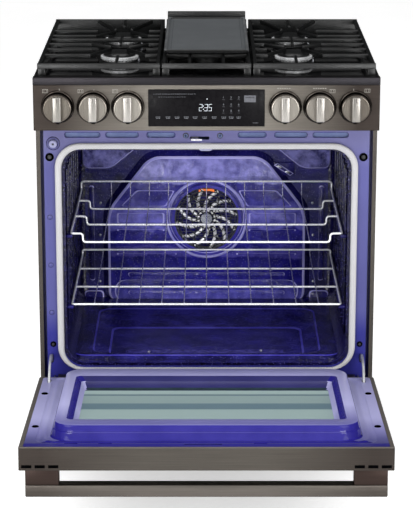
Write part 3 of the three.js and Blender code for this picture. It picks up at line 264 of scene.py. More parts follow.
finish = {
    "deepEnamel": enamel("deep_blue_vitreous_enamel", ("#35309a", "#504cb0"), "#8a87c4", peel=0.8),
    # A darker enamel laid where shade falls in the cavity, the frame's vents, the fan cover and the lamp: painted
    # shade.
    "shadeEnamel": enamel("painted_shade_blue_vitreous_enamel", ("#0d0b3c", "#242070"), "#7a76c4", peel=1.0,
                          fleckAmount=0.6),
    # The darkest enamel, for the cavity's side walls and beads and the rims round the opening, rivets and switch:
    # painted shade.
    "sideShadeEnamel": enamel("painted_shade_side_vitreous_enamel", ("#060418", "#131040"), "#6e6ab8", peel=1.0,
                         fleckAmount=0.7, patch=20),
    # The door's enamel: its zones along the open door are painted light and shade, darkest at its far edge and palest
    # across its middle.
    "doorEnamel": enamel("door_enamel_with_painted_light_and_shade", ("#eeeef0", "#ffffff"), "#9c9bcd", patch=260, axis="Y", **lit,
                         zones=((-625, "#2a2676"), (-594, "#2a2676"), (-590, "#4b4a7a"), (-560, "#57568a"),
                                (-500, "#8381b6"), (-400, "#b2b1dc"), (-100, "#9d9cc9"), (-30, "#8f8ebb"))),
    # The rear panel's enamel: its bands up the wall are painted light and shade, the pale band at the top is a
    # painted reflection, and its pale mottle stands in for reflections broken by the peel.
    "backEnamel": enamel("back_enamel_with_painted_light_shade_and_reflection", ("#a8a8c0", "#ffffff"), "#b0aeea", peel=1.0, patch=22,
                         drift=44, zones=((246, "#6e6bc6"), (284, "#4e4ab2"), (290, "#342f98"), (336, "#241f8e"),
                                          (361, "#1e1986"), (366, "#5a53b6"), (388, "#564fb4"), (392, "#2c2796"),
                                          (432, "#2c2796"), (437, "#807dde"), (480, "#7a77d8"), (506, "#5b57c0"),
                                          (511, "#332e9c"), (549, "#302a98"), (554, "#a3a1ee"), (612, "#918fd8"))),
    # Paler enamel for the edges of pressed shapes, rings and a lamp bar: a painted highlight.
    "paintedHighlightEnamel": enamel("painted_highlight_enamel_edges", ("#a5a2ec", "#c9c6fb"), "#d6d4ff", peel=0.4),
    # The corner pads' enamel: its blue is the enamel's own, and its strong mottle from dark navy to lavender is
    # painted reflection broken by the peel.
    "padEnamel": enamel("corner_enamel_with_painted_reflection_mottle", ("#1a1858", "#7b79c0"), "#a3a1dc", peel=1.0, patch=22),
    "floorEnamel": enamel("oven_floor_vitreous_enamel", ("#1e1a64", "#45418c"), "#8482c0", peel=1.0, patch=12),
    # A darker enamel for the door's pressed walls and its top channel: painted shade.
    "wallEnamel": enamel("painted_shade_wall_vitreous_enamel", ("#201b70", "#2a257a"), "#3a3590", peel=0.1,
                         fleckAmount=0.1, index=1.3),
    # The frame's enamel: its zones up the frame are painted light and shade, darker low down and paler above the
    # opening.
    "faceEnamel": enamel("frame_enamel_with_painted_light_and_shade", ("#e4e4e8", "#ffffff"), "#7473ba", patch=260, **lit,
                         zones=((150, "#28287a"), (318, "#28297c"), (372, "#4e4f8a"), (700, "#505088"),
                                (756, "#63628f"), (880, "#63628f"))),
    # A darker tone for the near side of the door window's slope: painted shade.
    "slopeEnamel": enamel("painted_shade_slope_vitreous_enamel", ("#2a295a", "#302f62"), "#3e3d74", **lit),
    "blackSteel": brushed("black_stainless_steel", ("#2c2623", "#38322e"), paintedSheen="#76716a"),
    "doorSteel": brushed("black_stainless_door_steel", ("#302b28", "#3a3430"), paintedSheen="#4d4944"),
    "sideSteel": brushed("black_stainless_side_sheet", ("#45413d", "#4e4a46")),
    "rimSteel": brushed("satin_black_stainless_edge", ("#57524d", "#645f59"), roughness=0.5, metallic=0.3),
    "trimSteel": brushed("dark_trim_steel", ("#212023", "#29272a"), roughness=0.4),
    "postSteel": brushed("dark_post_steel", ("#332925", "#3b302d"), roughness=0.4),
    "handleSteel": brushed("black_stainless_handle_bar", ("#443f3b", "#4c4843"), paintedSheen="#605b56"),
    "knobNickel": brushed("champagne_plated_zinc", ("#554f49", "#635d55"), along="Z", roughness=0.3, line=0.8,
                          paintedSheen="#a29d95"),
    "gripNickel": brushed("champagne_plated_grip", ("#817d78", "#8f8c86"), along="Z", roughness=0.3, line=0.8,
                          depth=0.1, paintedSheen="#aeaaa5"),
    "bezel": brushed("dark_plated_ring", ("#322d2a", "#4e4741"), roughness=0.2, paintedSheen="#625c56"),
    "castIron": grained("cast", "enamelled_cast_iron", ("#060707", "#0d0e0f"), 0.36, sheen=0.4),
    "griddleIron": grained("cast", "seasoned_griddle_iron", ("#4e5154", "#535659"), 0.45, depth=0.1),
    # A paler iron for the griddle's rim steps.
    "griddleRim": grained("cast", "paler_griddle_rim", ("#4c4e50", "#66686a"), 0.36),
    "capIron": grained("cast", "enamelled_burner_cap", ("#08090a", "#101112"), 0.4),
    "panEnamel": enamel("black_vitreous_enamel", ("#030304", "#070708"), "#0c0c0e", peel=0.02, roughness=0.03,
                        index=1.5, fleckAmount=0.2),
    "aluminium": brushed("machined_aluminium", ("#d4d6d8", "#eff0f1"), roughness=0.25, metallic=0.35, depth=0.15),
    "armSteel": brushed("plated_hinge_steel", ("#a3a5a7", "#bcbdbf"), roughness=0.3, metallic=0.6, depth=0.15),
    "zinc": galvanised("galvanised_sheet_steel"),
    "chrome": grained("plated", "chrome_plated_wire", ("#f4f5f7", "#fdfdfe"), 0.22, 0.35),
    "fineChrome": grained("plated", "chrome_plated_fine_wire", ("#a9a8c0", "#c4c3d6"), 0.25, 0.85),
    "gasket": braided("braided_fibreglass_rope"),
    "blackGlass": enamel("black_display_glass", ("#0d0c0e", "#141315"), "#161518", peel=0.01, roughness=0.3,
                         index=1.12, fleckAmount=0.1),
    "windowGlass": coatedGlass("coated_oven_glass"),
    "outerGlass": enamel("dark_tinted_outer_glass", ("#08090b", "#0e1012"), "#101214", peel=0.0, roughness=0.08,
                         index=1.45, fleckAmount=0.0),
    "blackPlastic": grained("moulded", "black_moulded_nylon", ("#161618", "#212124")),
    "greyPlastic": grained("moulded", "blue_grey_moulded_switch", ("#8484a8", "#9494b4")),
    "slate": grained("moulded", "slate_vent_screen", ("#4a5884", "#56648e"), 0.6),
    # Flat black for black parts, and for slots, ports, gaps and holes where only shade shows: painted shade.
    "blackAndPaintedShade": grained("moulded", "black_parts_and_painted_shade", ("#010101", "#020203"), 1.0, sheen=0.02),
    "glassSeal": grained("moulded", "dark_silicone_glass_seal", ("#1c2b33", "#26373f"), 0.7, sheen=0.2),
    "steelScrew": grained("plated", "zinc_plated_screw", ("#8d8f96", "#b4b6bc"), 0.3, 1.0),
    "clockInk": litInk("lit_clock_segments", "#e8eef5", "#d4dce6", 0.7),
    "keyInk": litInk("printed_key_marks", "#75777d", "#67696f", 0.02),
    "greyInk": litInk("printed_grey_field", "#55565c", "#4b4c52", 0.0),
    "panelInk": litInk("printed_panel_marks", "#98958e", "#8a8780", 0.0),
    "glow": litInk("hot_element_glow", "#f07a28", "#e06a20", 0.9),
}
print("materials:", len(finish))


# Mesh tools: each works in millimetres on a bmesh. A skin is a place in the piece's list of finishes.

def absorb(bm, part, skin=None):
    if skin is not None:
        for face in part.faces:
            face.material_index = skin
    mesh = bpy.data.meshes.new("part")
    part.to_mesh(mesh)
    part.free()
    bm.from_mesh(mesh)
    bpy.data.meshes.remove(mesh)


def settle(part, centre, turn=None):
    if turn:
        bmesh.ops.rotate(part, cent=(0, 0, 0), matrix=turn, verts=part.verts)
    bmesh.ops.translate(part, vec=centre, verts=part.verts)


def roundEdges(part, edges, size, steps):
    bmesh.ops.bevel(part, geom=edges, offset=size, offset_type="OFFSET", segments=steps, profile=0.5,
                    affect="EDGES", clamp_overlap=True, material=-1)


# The two x values may come in either order, so a mirrored box needs no sorting.
def addBox(bm, x0, x1, y0, y1, z0, z1, skin=0, round=0.0, steps=2, taper=1):
    part = bmesh.new()
    made = bmesh.ops.create_cube(part, size=1)["verts"]
    bmesh.ops.scale(part, vec=(abs(x1 - x0), y1 - y0, z1 - z0), verts=made)
    bmesh.ops.scale(part, vec=(1, taper, 1), verts=[v for v in made if v.co.z > 0])
    settle(part, ((x0 + x1) / 2, (y0 + y1) / 2, (z0 + z1) / 2))
    if round:
        roundEdges(part, part.edges[:], round, steps)
    absorb(bm, part, skin)


def addRod(bm, start, end, radius, steps=24, skin=0, round=0.0):
    part = bmesh.new()
    a, b = Vector(start), Vector(end)
    bmesh.ops.create_cone(part, cap_ends=True, segments=steps, radius1=radius, radius2=radius,
                          depth=(b - a).length)
    settle(part, (a + b) / 2, Vector((0, 0, 1)).rotation_difference(b - a).to_matrix())
    if round:
        roundEdges(part, [e for e in part.edges if any(len(f.verts) > 4 for f in e.link_faces)], round, 2)
    absorb(bm, part, skin)


# A profile of (radius, height) points spun about an axis through the centre; heights run along that axis.
def addTurned(bm, profile, centre, axis="Z", steps=48, skin=0, closed=False):
    part = bmesh.new()
    points = [part.verts.new((radius, 0, height)) for radius, height in profile + profile[:1] * closed]
    edges = [part.edges.new(pair) for pair in zip(points, points[1:])]
    bmesh.ops.spin(part, geom=points + edges, cent=(0, 0, 0), axis=(0, 0, 1), dvec=(0, 0, 0), angle=math.tau,
                   steps=steps, use_merge=True, use_duplicate=False)
    bmesh.ops.remove_doubles(part, verts=part.verts, dist=0.01)
    bmesh.ops.recalc_face_normals(part, faces=part.faces)
    settle(part, centre, {"Z": None, "Y": Matrix.Rotation(-math.pi / 2, 3, "X")}[axis])
    absorb(bm, part, skin)


# A closed outline through corners, each corner rounded by an arc of the given size.
def outlineLoop(bm, corners, radius=0.0, steps=5):
    before = set(bm.edges)
    points = [bm.verts.new(c) for c in corners]
    bm.faces.new(points)
    if radius:
        bmesh.ops.bevel(bm, geom=points, offset=radius, offset_type="OFFSET", segments=steps, profile=0.5,
                        affect="VERTICES", clamp_overlap=False, material=-1)
    edges = [e for e in bm.edges if e not in before]
    faces = list({f for e in edges for f in e.link_faces})
    bmesh.ops.delete(bm, geom=faces, context="FACES_ONLY")
    return edges


# An outline is (corners, corner radius).
def upright(x0, x1, z0, z1, y, radius=0):
    x0, x1 = sorted((x0, x1))
    return [(x0, y, z0), (x1, y, z0), (x1, y, z1), (x0, y, z1)], radius


def uprightSquare(x, z, half, y, radius):
    return upright(x - half, x + half, z - half, z + half, y, radius)


def lying(x0, x1, y0, y1, z, radius=0):
    return [(x0, y0, z), (x1, y0, z), (x1, y1, z), (x0, y1, z)], radius


# Outlines joined in order by bands of faces. The last joins the first if closed, or else both ends get a
# face. The outlines are held well apart while they are joined, so that nested outlines in one plane are
# matched corner to corner.
def addLoft(bm, outlines, closed=False, steps=5, skin=0, finishes=None):
    part = bmesh.new()
    finishes = finishes or [skin] * len(outlines)

    def paintNew(before, index):
        for face in part.faces:
            if face not in before:
                face.material_index = finishes[index]

    loops = [outlineLoop(part, corners, radius, steps) for corners, radius in outlines]
    pairs = list(zip(loops, loops[1:])) + ([(loops[-1], loops[0])] if closed else [])
    a, b, c = (Vector(outlines[0][0][i]) for i in (0, 1, -1))
    away = (b - a).cross(c - a).normalized() * 400
    homes = [(v, v.co.copy()) for v in part.verts]
    for count, loop in enumerate(loops):
        for v in {v for edge in loop for v in edge.verts}:
            v.co += away * count
    for count, (one, two) in enumerate(pairs):
        before = set(part.faces)
        bmesh.ops.bridge_loops(part, edges=one + two)
        paintNew(before, count)
    for v, home in homes:
        v.co = home
    for index in () if closed else (0, -1):
        before = set(part.faces)
        bmesh.ops.edgeloop_fill(part, edges=loops[index])
        paintNew(before, index)
    bmesh.ops.recalc_face_normals(part, faces=part.faces)
    absorb(bm, part)


# A flat sheet with an outer outline and holes through it, thickened by the shift.
def addPlate(bm, outer, holes, shift, steps=5, skin=0):
    part = bmesh.new()
    edges = [e for corners, radius in [outer, *holes] for e in outlineLoop(part, corners, radius, steps)]
    bmesh.ops.triangle_fill(part, use_beauty=True, use_dissolve=False, edges=edges)
    moved = bmesh.ops.extrude_face_region(part, geom=part.faces[:])["geom"]
    bmesh.ops.translate(part, vec=shift, verts=[v for v in moved if isinstance(v, bmesh.types.BMVert)])
    bmesh.ops.recalc_face_normals(part, faces=part.faces)
    absorb(bm, part, skin)


# The corners of a wire path rounded by arcs of the bend radius.
def bentPath(points, bend, steps=4):
    path = [Vector(points[0])]
    for before, corner, after in zip(points, points[1:], points[2:]):
        corner = Vector(corner)
        back, ahead = (Vector(before) - corner), (Vector(after) - corner)
        reach = min(bend, back.length / 2.01, ahead.length / 2.01)
        start, end = corner + back.normalized() * reach, corner + ahead.normalized() * reach
        for i in range(steps + 1):
            t = i / steps
            path.append(start.lerp(corner, t).lerp(corner.lerp(end, t), t))
    path.append(Vector(points[-1]))
    return path


# A curve's mesh as a part, its doubled points joined; the curve itself is dropped.
def partFromCurve(curve, gap):
    holder = bpy.data.objects.new("curve", curve)
    mesh = bpy.data.meshes.new_from_object(holder)
    part = bmesh.new()
    part.from_mesh(mesh)
    bmesh.ops.remove_doubles(part, verts=part.verts, dist=gap)
    bpy.data.meshes.remove(mesh)
    bpy.data.objects.remove(holder)
    bpy.data.curves.remove(curve)
    return part


def addWire(bm, points, radius, bend=0.0, steps=2, skin=0):
    path = bentPath(points, bend) if bend else [Vector(p) for p in points]
    curve = bpy.data.curves.new("wire", "CURVE")
    curve.dimensions = "3D"
    curve.bevel_depth = radius
    curve.bevel_resolution = steps
    curve.use_fill_caps = True
    spline = curve.splines.new("POLY")
    spline.points.add(len(path) - 1)
    for point, place in zip(spline.points, path):
        point.co = (*place, 1)
    part = partFromCurve(curve, 0.01)
    bmesh.ops.recalc_face_normals(part, faces=part.faces)
    absorb(bm, part, skin)


# Figures as thin upright shapes facing the front.
def addFigures(bm, text, x, y, z, height, skin=0):
    curve = bpy.data.curves.new("figures", "FONT")
    curve.body = text
    curve.size = height * 1.35
    curve.align_x = "CENTER"
    curve.align_y = "CENTER"
    curve.extrude = 0.05
    curve.resolution_u = 2
    part = partFromCurve(curve, 0.001)
    settle(part, (x, y, z), Matrix.Rotation(math.pi / 2, 3, "X"))
    absorb(bm, part, skin)


# Sets a finished shape down in metres, gives it its finishes and fixes it to its body.
def finishPiece(bm, name, stands, finishes, body=None, edge=0.0, sharp=35, onDoor=False, edgeAngle=40):
    if onDoor:
        bmesh.ops.rotate(bm, cent=(0, hinge["y"], hinge["z"]), matrix=Matrix.Rotation(hinge["openAngle"], 3, "X"),
                         verts=bm.verts)
    bmesh.ops.translate(bm, vec=(0, frameFace, 0), verts=bm.verts)
    bmesh.ops.scale(bm, vec=(0.001, 0.001, 0.001), verts=bm.verts)
    mesh = bpy.data.meshes.new(name)
    bm.to_mesh(mesh)
    bm.free()
    for key in finishes:
        mesh.materials.append(finish[key])
    mesh.shade_smooth()
    mesh.set_sharp_from_angle(angle=math.radians(sharp))
    piece = bpy.data.objects.new(name, mesh)
    bpy.context.scene.collection.objects.link(piece)
    if edge:
        bevel = piece.modifiers.new("edge", "BEVEL")
        bevel.width = edge / 1000
        bevel.segments = 2
        bevel.limit_method = "ANGLE"
        bevel.angle_limit = math.radians(edgeAngle)
        bevel.harden_normals = True
    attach(piece, body or bodyOf[stands[0]])
    if stands:
        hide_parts(*stands)


# A plain pressed or turned piece: the node's own shape with its edges eased.
def easedNode(node, finishKey, edge):
    bm = bmesh.new()
    bm.from_mesh(frame["nodes"][node].data)
    bmesh.ops.remove_doubles(bm, verts=bm.verts, dist=0.00001)
    bmesh.ops.dissolve_limit(bm, angle_limit=math.radians(1), use_dissolve_boundaries=False, verts=bm.verts,
                             edges=bm.edges)
    bmesh.ops.scale(bm, vec=(1000, 1000, 1000), verts=bm.verts)
    bmesh.ops.translate(bm, vec=(0, -frameFace, 0), verts=bm.verts)
    finishPiece(bm, node + "_eased", [node], [finishKey], edge=edge)


print("tools ready")


# Pieces that keep their plain pressed, turned or cast shape

plainPieces = {
    "base_pan": ("zinc", 0.4), "fan_motor": ("zinc", 1.5), "fan_blade": ("steelScrew", 0.4),
    "gas_manifold": ("aluminium", 0.8), "broil_burner": ("zinc", 0.8), "drawer_box": ("zinc", 0.5),
    "lower_trim": ("doorSteel", 0.6), "drawer_front": ("doorSteel", 0.8), "back_panel": ("zinc", 0.4),
    "left_side_panel": ("sideSteel", 0.4), "right_side_panel": ("sideSteel", 0.4),
    "left_hinge_arm": ("armSteel", 0.8), "right_hinge_arm": ("armSteel", 0.8),
    "convection_element": ("steelScrew", 0.0), "door_latch": ("chrome", 0.4),
}
for node in bodyOf:
    if node.endswith("_valve_stem"):
        plainPieces[node] = ("steelScrew", 0.6)
    if node.endswith("_foot"):
        plainPieces[node] = ("blackPlastic", 0.6)
for node, (finishKey, edge) in plainPieces.items():
    easedNode(node, finishKey, edge)
print("plain pieces:", len(plainPieces))


# Oven cavity: a seamless enamelled box with a raised rear panel, pressed figures, rack ledges and a dished
# floor. A figure is (x0, x1, z0, z1, height, corner radius, slope, skin of its top). A floor step is
# (half width, y0, y1, height, corner radius, skin), and so is a step of the raised field in its middle,
# which lies 2 mm to the left.

cavity = {
    "half": 316, "low": 246, "high": 741, "corner": 42, "front": 1.5, "back": 505, "wall": 1.2, "backBend": 16,
    "panelFace": 487, "panelBend": 26, "panelLow": 246.5, "panelHalf": 238, "panelShoulder": 480,
    "panelTopHalf": 136, "panelTop": 612,
    "panelSteps": ((18, 18.5, 2), (16, 14, 2), (6, 4, 3), (3, 1, 3), (0, 0, 5)),
    "ledges": (375.2, 541.2), "ledgeDepth": 14, "ledgeHeight": 8, "ledgeY": (20, 474),
    "beads": (40, 92, 150, 214, 284, 360, 440), "beadZ": (300, 690),
    "screws": ((262, 497), (264, 415), (266, 296)), "floorScrews": ((-133, 70), (126, 80)),
    "upperFigure": ((170, 532), (81, 532), (102, 494), (208, 494)),
    "pad": ((303, 588), (236, 588), (172, 640), (172, 736), (303, 736)),
    "sideFigures": ((218, 107, 475, 450, 3.5, 4, 5.5, 5), (218, 107, 434, 430, 2.5, 1.5, 5.5, 5),
                    (219, 77, 373, 369, 2.5, 1.5, 5.5, 5)),
    "backFigures": ((303, 258, 247, 272, 9, 9, 4, 2), (290, 278, 300, 540, 5, 5, 3, 2)),
    "middleFigures": ((-193, 193, 314.5, 323.5, 4, 4, 3, 5), (-193, 193, 267.5, 276.5, 4, 4, 3, 5),
                      (-226, 226, 247, 304, 2, 26, 4, 5)),
    "fanRing": ((94, 1), (95, -2), (97.5, -4), (100, -2), (101, 1)), "fanZ": 461,
    "floorSteps": ((306, 26, 503, 0.3, 30, 2), (306, 26, 503, 8, 30, 0), (304, 28, 501, 10, 30, 2),
                   (263, 40, 402, 10, 34, 0), (259, 43, 396, 8.5, 32, 2), (226, 52, 272, 1.5, 24, 0),
                   (221, 54, 262, 0.3, 22, 4)),
    "fieldSteps": ((185, 58, 97, -0.2, 8, 4), (182, 61, 94, 2, 6, 2), (180, 63, 92, 2.4, 5, 4)), "fieldX": -2,
}


def grown(corners, by):
    middle = sum((Vector(c) for c in corners), Vector()) / len(corners)
    return [tuple(middle + (Vector(c) - middle) * (1 + by / (Vector(c) - middle).length)) for c in corners]


# A shape pressed forward from a wall at y, standing proud by the height, its sloped edges in the paler enamel as a
# painted highlight.
def pressForward(bm, corners, y, height, radius, slope=5.5, flat=5):
    shape = [(x, y, z) for x, z in corners]
    shift = [(slope, 0.5), (slope * 0.6, -height * 0.4), (0.5, -height * 0.9), (-0.8, -height)]
    addLoft(bm, [([(x, y + dy, z) for x, _, z in grown(shape, by)], radius) for by, dy in shift], steps=4,
            finishes=[flat, 3, 3, flat])


def pressRects(bm, figures, y, side=1):
    for x0, x1, z0, z1, *rest in figures:
        corners = [(x0, z0), (x1, z0), (x1, z1), (x0, z1)]
        pressForward(bm, [(side * x, z) for x, z in corners], y, *rest)


def floorLoft(bm, rows, x, closed):
    low = cavity["low"]
    addLoft(bm, [lying(x - half, x + half, y0, y1, low + z, radius) for half, y0, y1, z, radius, _ in rows], closed,
            steps=6 if closed else 4, finishes=[skin for *_, skin in rows])


def makeCavity():
    c = cavity
    bm = bmesh.new()
    bend, half, back, face, low = c["backBend"], c["half"], c["back"], c["panelFace"], c["low"]

    def ring(inset, y):
        return upright(-half + inset, half - inset, low + inset, c["high"] - inset, y, c["corner"] - inset * 0.7)

    outlines = [ring(-c["wall"], back + c["wall"]), ring(-c["wall"], c["front"]), ring(0, c["front"]),
                ring(0, 120), ring(0, 300)]
    for i in range(5):
        a = math.radians(22.5 * i)
        outlines.append(ring(bend * (1 - math.cos(a)), back - bend + bend * math.sin(a)))
    addLoft(bm, outlines, steps=8)
    # Painted shade: faces of the side walls take the darkest enamel, and the back wall's rim and the walls' lower
    # part the shaded one.
    for f in bm.faces:
        middle = f.calc_center_median()
        if abs(middle.x) > 290 and middle.y > 2:
            f.material_index = 7
        elif middle.y > back - 8 or (middle.y > 2 and middle.z < 300):
            f.material_index = 2

    def panelOutline(by, y):
        shoulder, top = c["panelShoulder"] + by * 0.4, c["panelTop"] + by
        foot, topHalf = c["panelHalf"] + by, c["panelTopHalf"] + by * 0.6
        return ([(-foot, y, c["panelLow"]), (foot, y, c["panelLow"]), (foot, y, shoulder), (topHalf, y, top),
                 (-topHalf, y, top), (-foot, y, shoulder)], c["panelBend"])

    # The raised panel's outer steps are in painted shade and its edge steps a painted highlight.
    addLoft(bm, [panelOutline(by, face + dy) for by, dy, _ in c["panelSteps"]], steps=6,
            finishes=[skin for *_, skin in c["panelSteps"]])
    for side, _ in sides:
        pressForward(bm, [(side * x, z) for x, z in c["upperFigure"]], face, 3.5, 5)
        pressForward(bm, [(side * x, z) for x, z in c["pad"]], back, 11, 16, 6, 6)
        pressRects(bm, c["sideFigures"], face, side)
        # The lower figures on the back wall have tops in painted shade.
        pressRects(bm, c["backFigures"], back, side)
        for x, z in c["screws"]:
            addRod(bm, (side * x, back - 4, z), (side * x, back + 1, z), 3.2, 12, skin=1, round=1)
        # The rack ledges and the beads on the side walls are in painted shade.
        for z in c["ledges"]:
            addBox(bm, side * (half - c["ledgeDepth"]), side * (half + 0.6), *c["ledgeY"], z - c["ledgeHeight"], z,
                   skin=2, round=3, steps=3)
        for y in c["beads"]:
            addBox(bm, side * (half - 5), side * (half + 0.6), y - 5, y + 5, *c["beadZ"], skin=7, round=2.5, steps=3)
    pressRects(bm, c["middleFigures"], face)
    addTurned(bm, [(radius, face + y) for radius, y in c["fanRing"]], (0, 0, c["fanZ"]), "Y", 64, skin=3, closed=True)
    # The floor's sloped steps are in painted shade.
    floorLoft(bm, c["floorSteps"], 0, True)
    floorLoft(bm, c["fieldSteps"], c["fieldX"], False)
    for x, y in c["floorScrews"]:
        addRod(bm, (x, y, low), (x, y, low + 5.5), 3.4, 12, skin=1, round=1)
    finishPiece(bm, "oven_cavity_enamelled", ["oven_cavity"],
                ["deepEnamel", "steelScrew", "shadeEnamel", "paintedHighlightEnamel", "floorEnamel", "backEnamel", "padEnamel",
                 "sideShadeEnamel"])


makeCavity()
print("oven cavity made")


# Front frame: flat enamelled sheet with the oven opening, cooling slots, screws, bumpers and hinge slots.
# The opening is (half width, bottom, top, corner radius), the latch's slot (x0, x1, z0, z1), a vent (x0, x1),
# a bumper (x, z, radius), the rivets (x, heights) and the hinge's plate (outer x, inner x, near y, z0, z1).

frontFrame = {
    "half": 361.5, "low": 151, "high": 880, "sheet": 1.2, "fold": 22, "flange": 376.5,
    "vents": ((236, 314), (151, 223), (70, 132)), "ventZ": (769.5, 780.5), "ventRim": 1.1,
    "screws": ((-46, 773.5), (30, 773.5)), "latch": (-36, 6, 764.5, 771.5), "switch": (-340, 756, 9.3),
    "armSlots": (352, 4, 245.5, 267), "bumpers": ((348.5, 725, 9.5), (348, 290, 6.5)),
    "rivets": (350, (365, 476, 587)), "opening": (316, 246, 741, 42), "openingRim": (323.5, 239, 745, 47),
    "slit": (-36.5, 10), "hingePin": (345.5, 357.5, 4.7), "hingePlate": (347.5, 343.5, -45, 192, 216),
}


def makeFrontFrame():
    f = frontFrame
    bm = bmesh.new()
    low, high, sheet = f["low"], f["high"], f["sheet"]
    vent0, vent1 = f["ventZ"]
    x, z, r = f["switch"]

    def opening(key, y):
        wide, bottom, top, radius = f[key]
        return upright(-wide, wide, bottom, top, y, radius)

    holes = [opening("opening", 0), upright(*f["latch"], 0, 1), uprightSquare(x, z, r, 0, r * 0.98)]
    at, half, slot0, slot1 = f["armSlots"]
    for side, _ in sides:
        holes += [upright(side * inner, side * outer, vent0, vent1, 0, 5.2) for inner, outer in f["vents"]]
        holes.append(upright(side * at - half, side * at + half, slot0, slot1, 0, 3.6))
    addPlate(bm, upright(-f["half"], f["half"], low, high, 0, 1), holes, (0, sheet, 0), steps=6)
    # The lip round the opening is in the darkest enamel: painted shade.
    addLoft(bm, [opening("opening", 0.6), opening("opening", -0.15), opening("openingRim", -0.15),
                 opening("openingRim", 0.6)], closed=True, steps=8, skin=7)
    pin0, pin1, pinRadius = f["hingePin"]
    x0, x1, near, bottom, top = f["hingePlate"]
    for side, _ in sides:
        out = side * f["half"]
        addBox(bm, out, out - side * sheet, 0.2, f["fold"], low, high)
        addBox(bm, out - side * sheet, side * f["flange"], f["fold"] - sheet, f["fold"], low, high)
        addBox(bm, side * x0, side * x1, near, 0.6, bottom, top, skin=1, round=1)
        addRod(bm, *((side * x, hinge["y"], hinge["z"]) for x in (pin0, pin1)), pinRadius, 20, skin=1)
        for inner, outer in f["vents"]:
            addBox(bm, side * (inner - 4), side * (outer + 4), 5.6, 6.4, vent0 - 4, vent1 + 4, skin=2)
            # The rims of the cooling slots are in the shaded enamel: painted shade.
            rim = [upright(side * (inner - by), side * (outer + by), vent0 - by, vent1 + by, y, 5.2 + by)
                   for by, y in ((0, 0.1), (0, -0.25), (f["ventRim"], -0.25), (f["ventRim"], 0.1))]
            addLoft(bm, rim, closed=True, steps=6, skin=6)
        for at, z, r in f["bumpers"]:
            addTurned(bm, [(0, -1.2), (r * 0.62, -1.2), (r * 0.62, -2.2), (r * 0.9, -2.2), (r, -1), (r, 0.4),
                           (0, 0.4)], (side * at, 0, z), "Y", 28, skin=4)
            addTurned(bm, [(0, -3.4), (r * 0.34, -3.2), (r * 0.5, -2), (r * 0.52, -1), (0, -1)], (side * at, 0, z),
                      "Y", 20, skin=5)
    for x, z in f["screws"]:
        addTurned(bm, [(0, -2.6), (3.5, -2.5), (4.6, -2.0), (4.6, 0.3), (0, 0.3)], (x, 0, z), "Y", 20, skin=2)
        addTurned(bm, [(4.5, 0.3), (4.5, -1.4), (5.9, -1.2), (6.6, 0.3)], (x, 0, z), "Y", 20, skin=5, closed=True)
        # The screw's cross is flat black: painted shade in its slots.
        for wide, tall in ((3.2, 0.65), (0.65, 3.2)):
            addBox(bm, x - wide, x + wide, -2.75, -2.3, z - tall, z + tall, skin=4)
    at, heights = f["rivets"]
    for z in heights:
        addTurned(bm, [(0, -1.5), (3.2, -1.4), (4.6, -0.7), (5, 0.3), (0, 0.3)], (-at, 0, z), "Y", 20)
        # A ring of the darkest enamel round each rivet: painted shade.
        addTurned(bm, [(4.9, 0.3), (4.9, -0.1), (5.9, -0.1), (5.9, 0.3)], (-at, 0, z), "Y", 20, skin=7, closed=True)
    # Behind the latch's slot the upper wall is flat black, painted shade, and the lower wall slate.
    for z, skin in ((771.9, 4), (762.9, 2)):
        addBox(bm, *f["slit"], sheet, 30, z, z + 1.2, skin=skin)
    finishPiece(bm, "front_frame_enamelled", ["front_frame"],
                ["faceEnamel", "steelScrew", "slate", "steelScrew", "blackAndPaintedShade", "blackPlastic", "shadeEnamel",
                 "sideShadeEnamel"])


# The clip's outlines (x0, x1, z0, z1, y, corner radius), from the frame outwards.
gasketClip = ((-19, 15, 739, 758, 0.1, 9), (-19, 15, 739, 758, -0.6, 9), (-17.5, 13.5, 740.5, 756.5, -1.1, 7.5))


def makeSwitchAndClip():
    x, z, r = frontFrame["switch"]
    r -= 0.3
    bm = bmesh.new()
    addTurned(bm, [(0, 14), (r, 14), (r, -9), (r - 2, -11.5), (r * 0.45, -11.5), (r * 0.4, -10.2), (0, -10.2)],
              (x, 0, z), "Y", 32)
    addTurned(bm, [(0, -10.9), (2.4, -10.9), (2.4, -10), (0, -10)], (x, 0, z), "Y", 16, skin=1)
    finishPiece(bm, "light_switch_plunger", ["light_switch_button"], ["greyPlastic", "blackPlastic"])
    bm = bmesh.new()
    addTurned(bm, [(r + 0.6, 0.1), (r + 0.8, -1.6), (r + 2.8, -2.4), (r + 4.6, -1.4), (r + 5, 0.1)], (x, 0, z), "Y",
              32, closed=True)
    # A ring of the darkest enamel round the switch's ring: painted shade.
    addTurned(bm, [(r + 4.9, 0.1), (r + 4.9, -0.5), (r + 6.3, -0.5), (r + 6.5, 0.1)], (x, 0, z), "Y", 32, skin=1,
              closed=True)
    finishPiece(bm, "light_switch_ring", [], ["faceEnamel", "sideShadeEnamel"], body="body")
    bm = bmesh.new()
    addLoft(bm, [upright(*step) for step in gasketClip])
    finishPiece(bm, "gasket_clip", [], ["greyPlastic"], body="body")


makeFrontFrame()
makeSwitchAndClip()
print("front frame made")


# Door gasket: a soft hollow rope clipped round the opening. Its section is a rounded square, flatter
# below the opening than above it.

gasketRope = {"half": 322.4, "low": 236, "high": 744, "corner": 44, "wide": 14.6, "front": -11.5, "back": -0.3,
              "points": 14, "squareness": 0.8, "lowShare": 0.4, "highShare": 0.92, "cornerShare": 0.8}


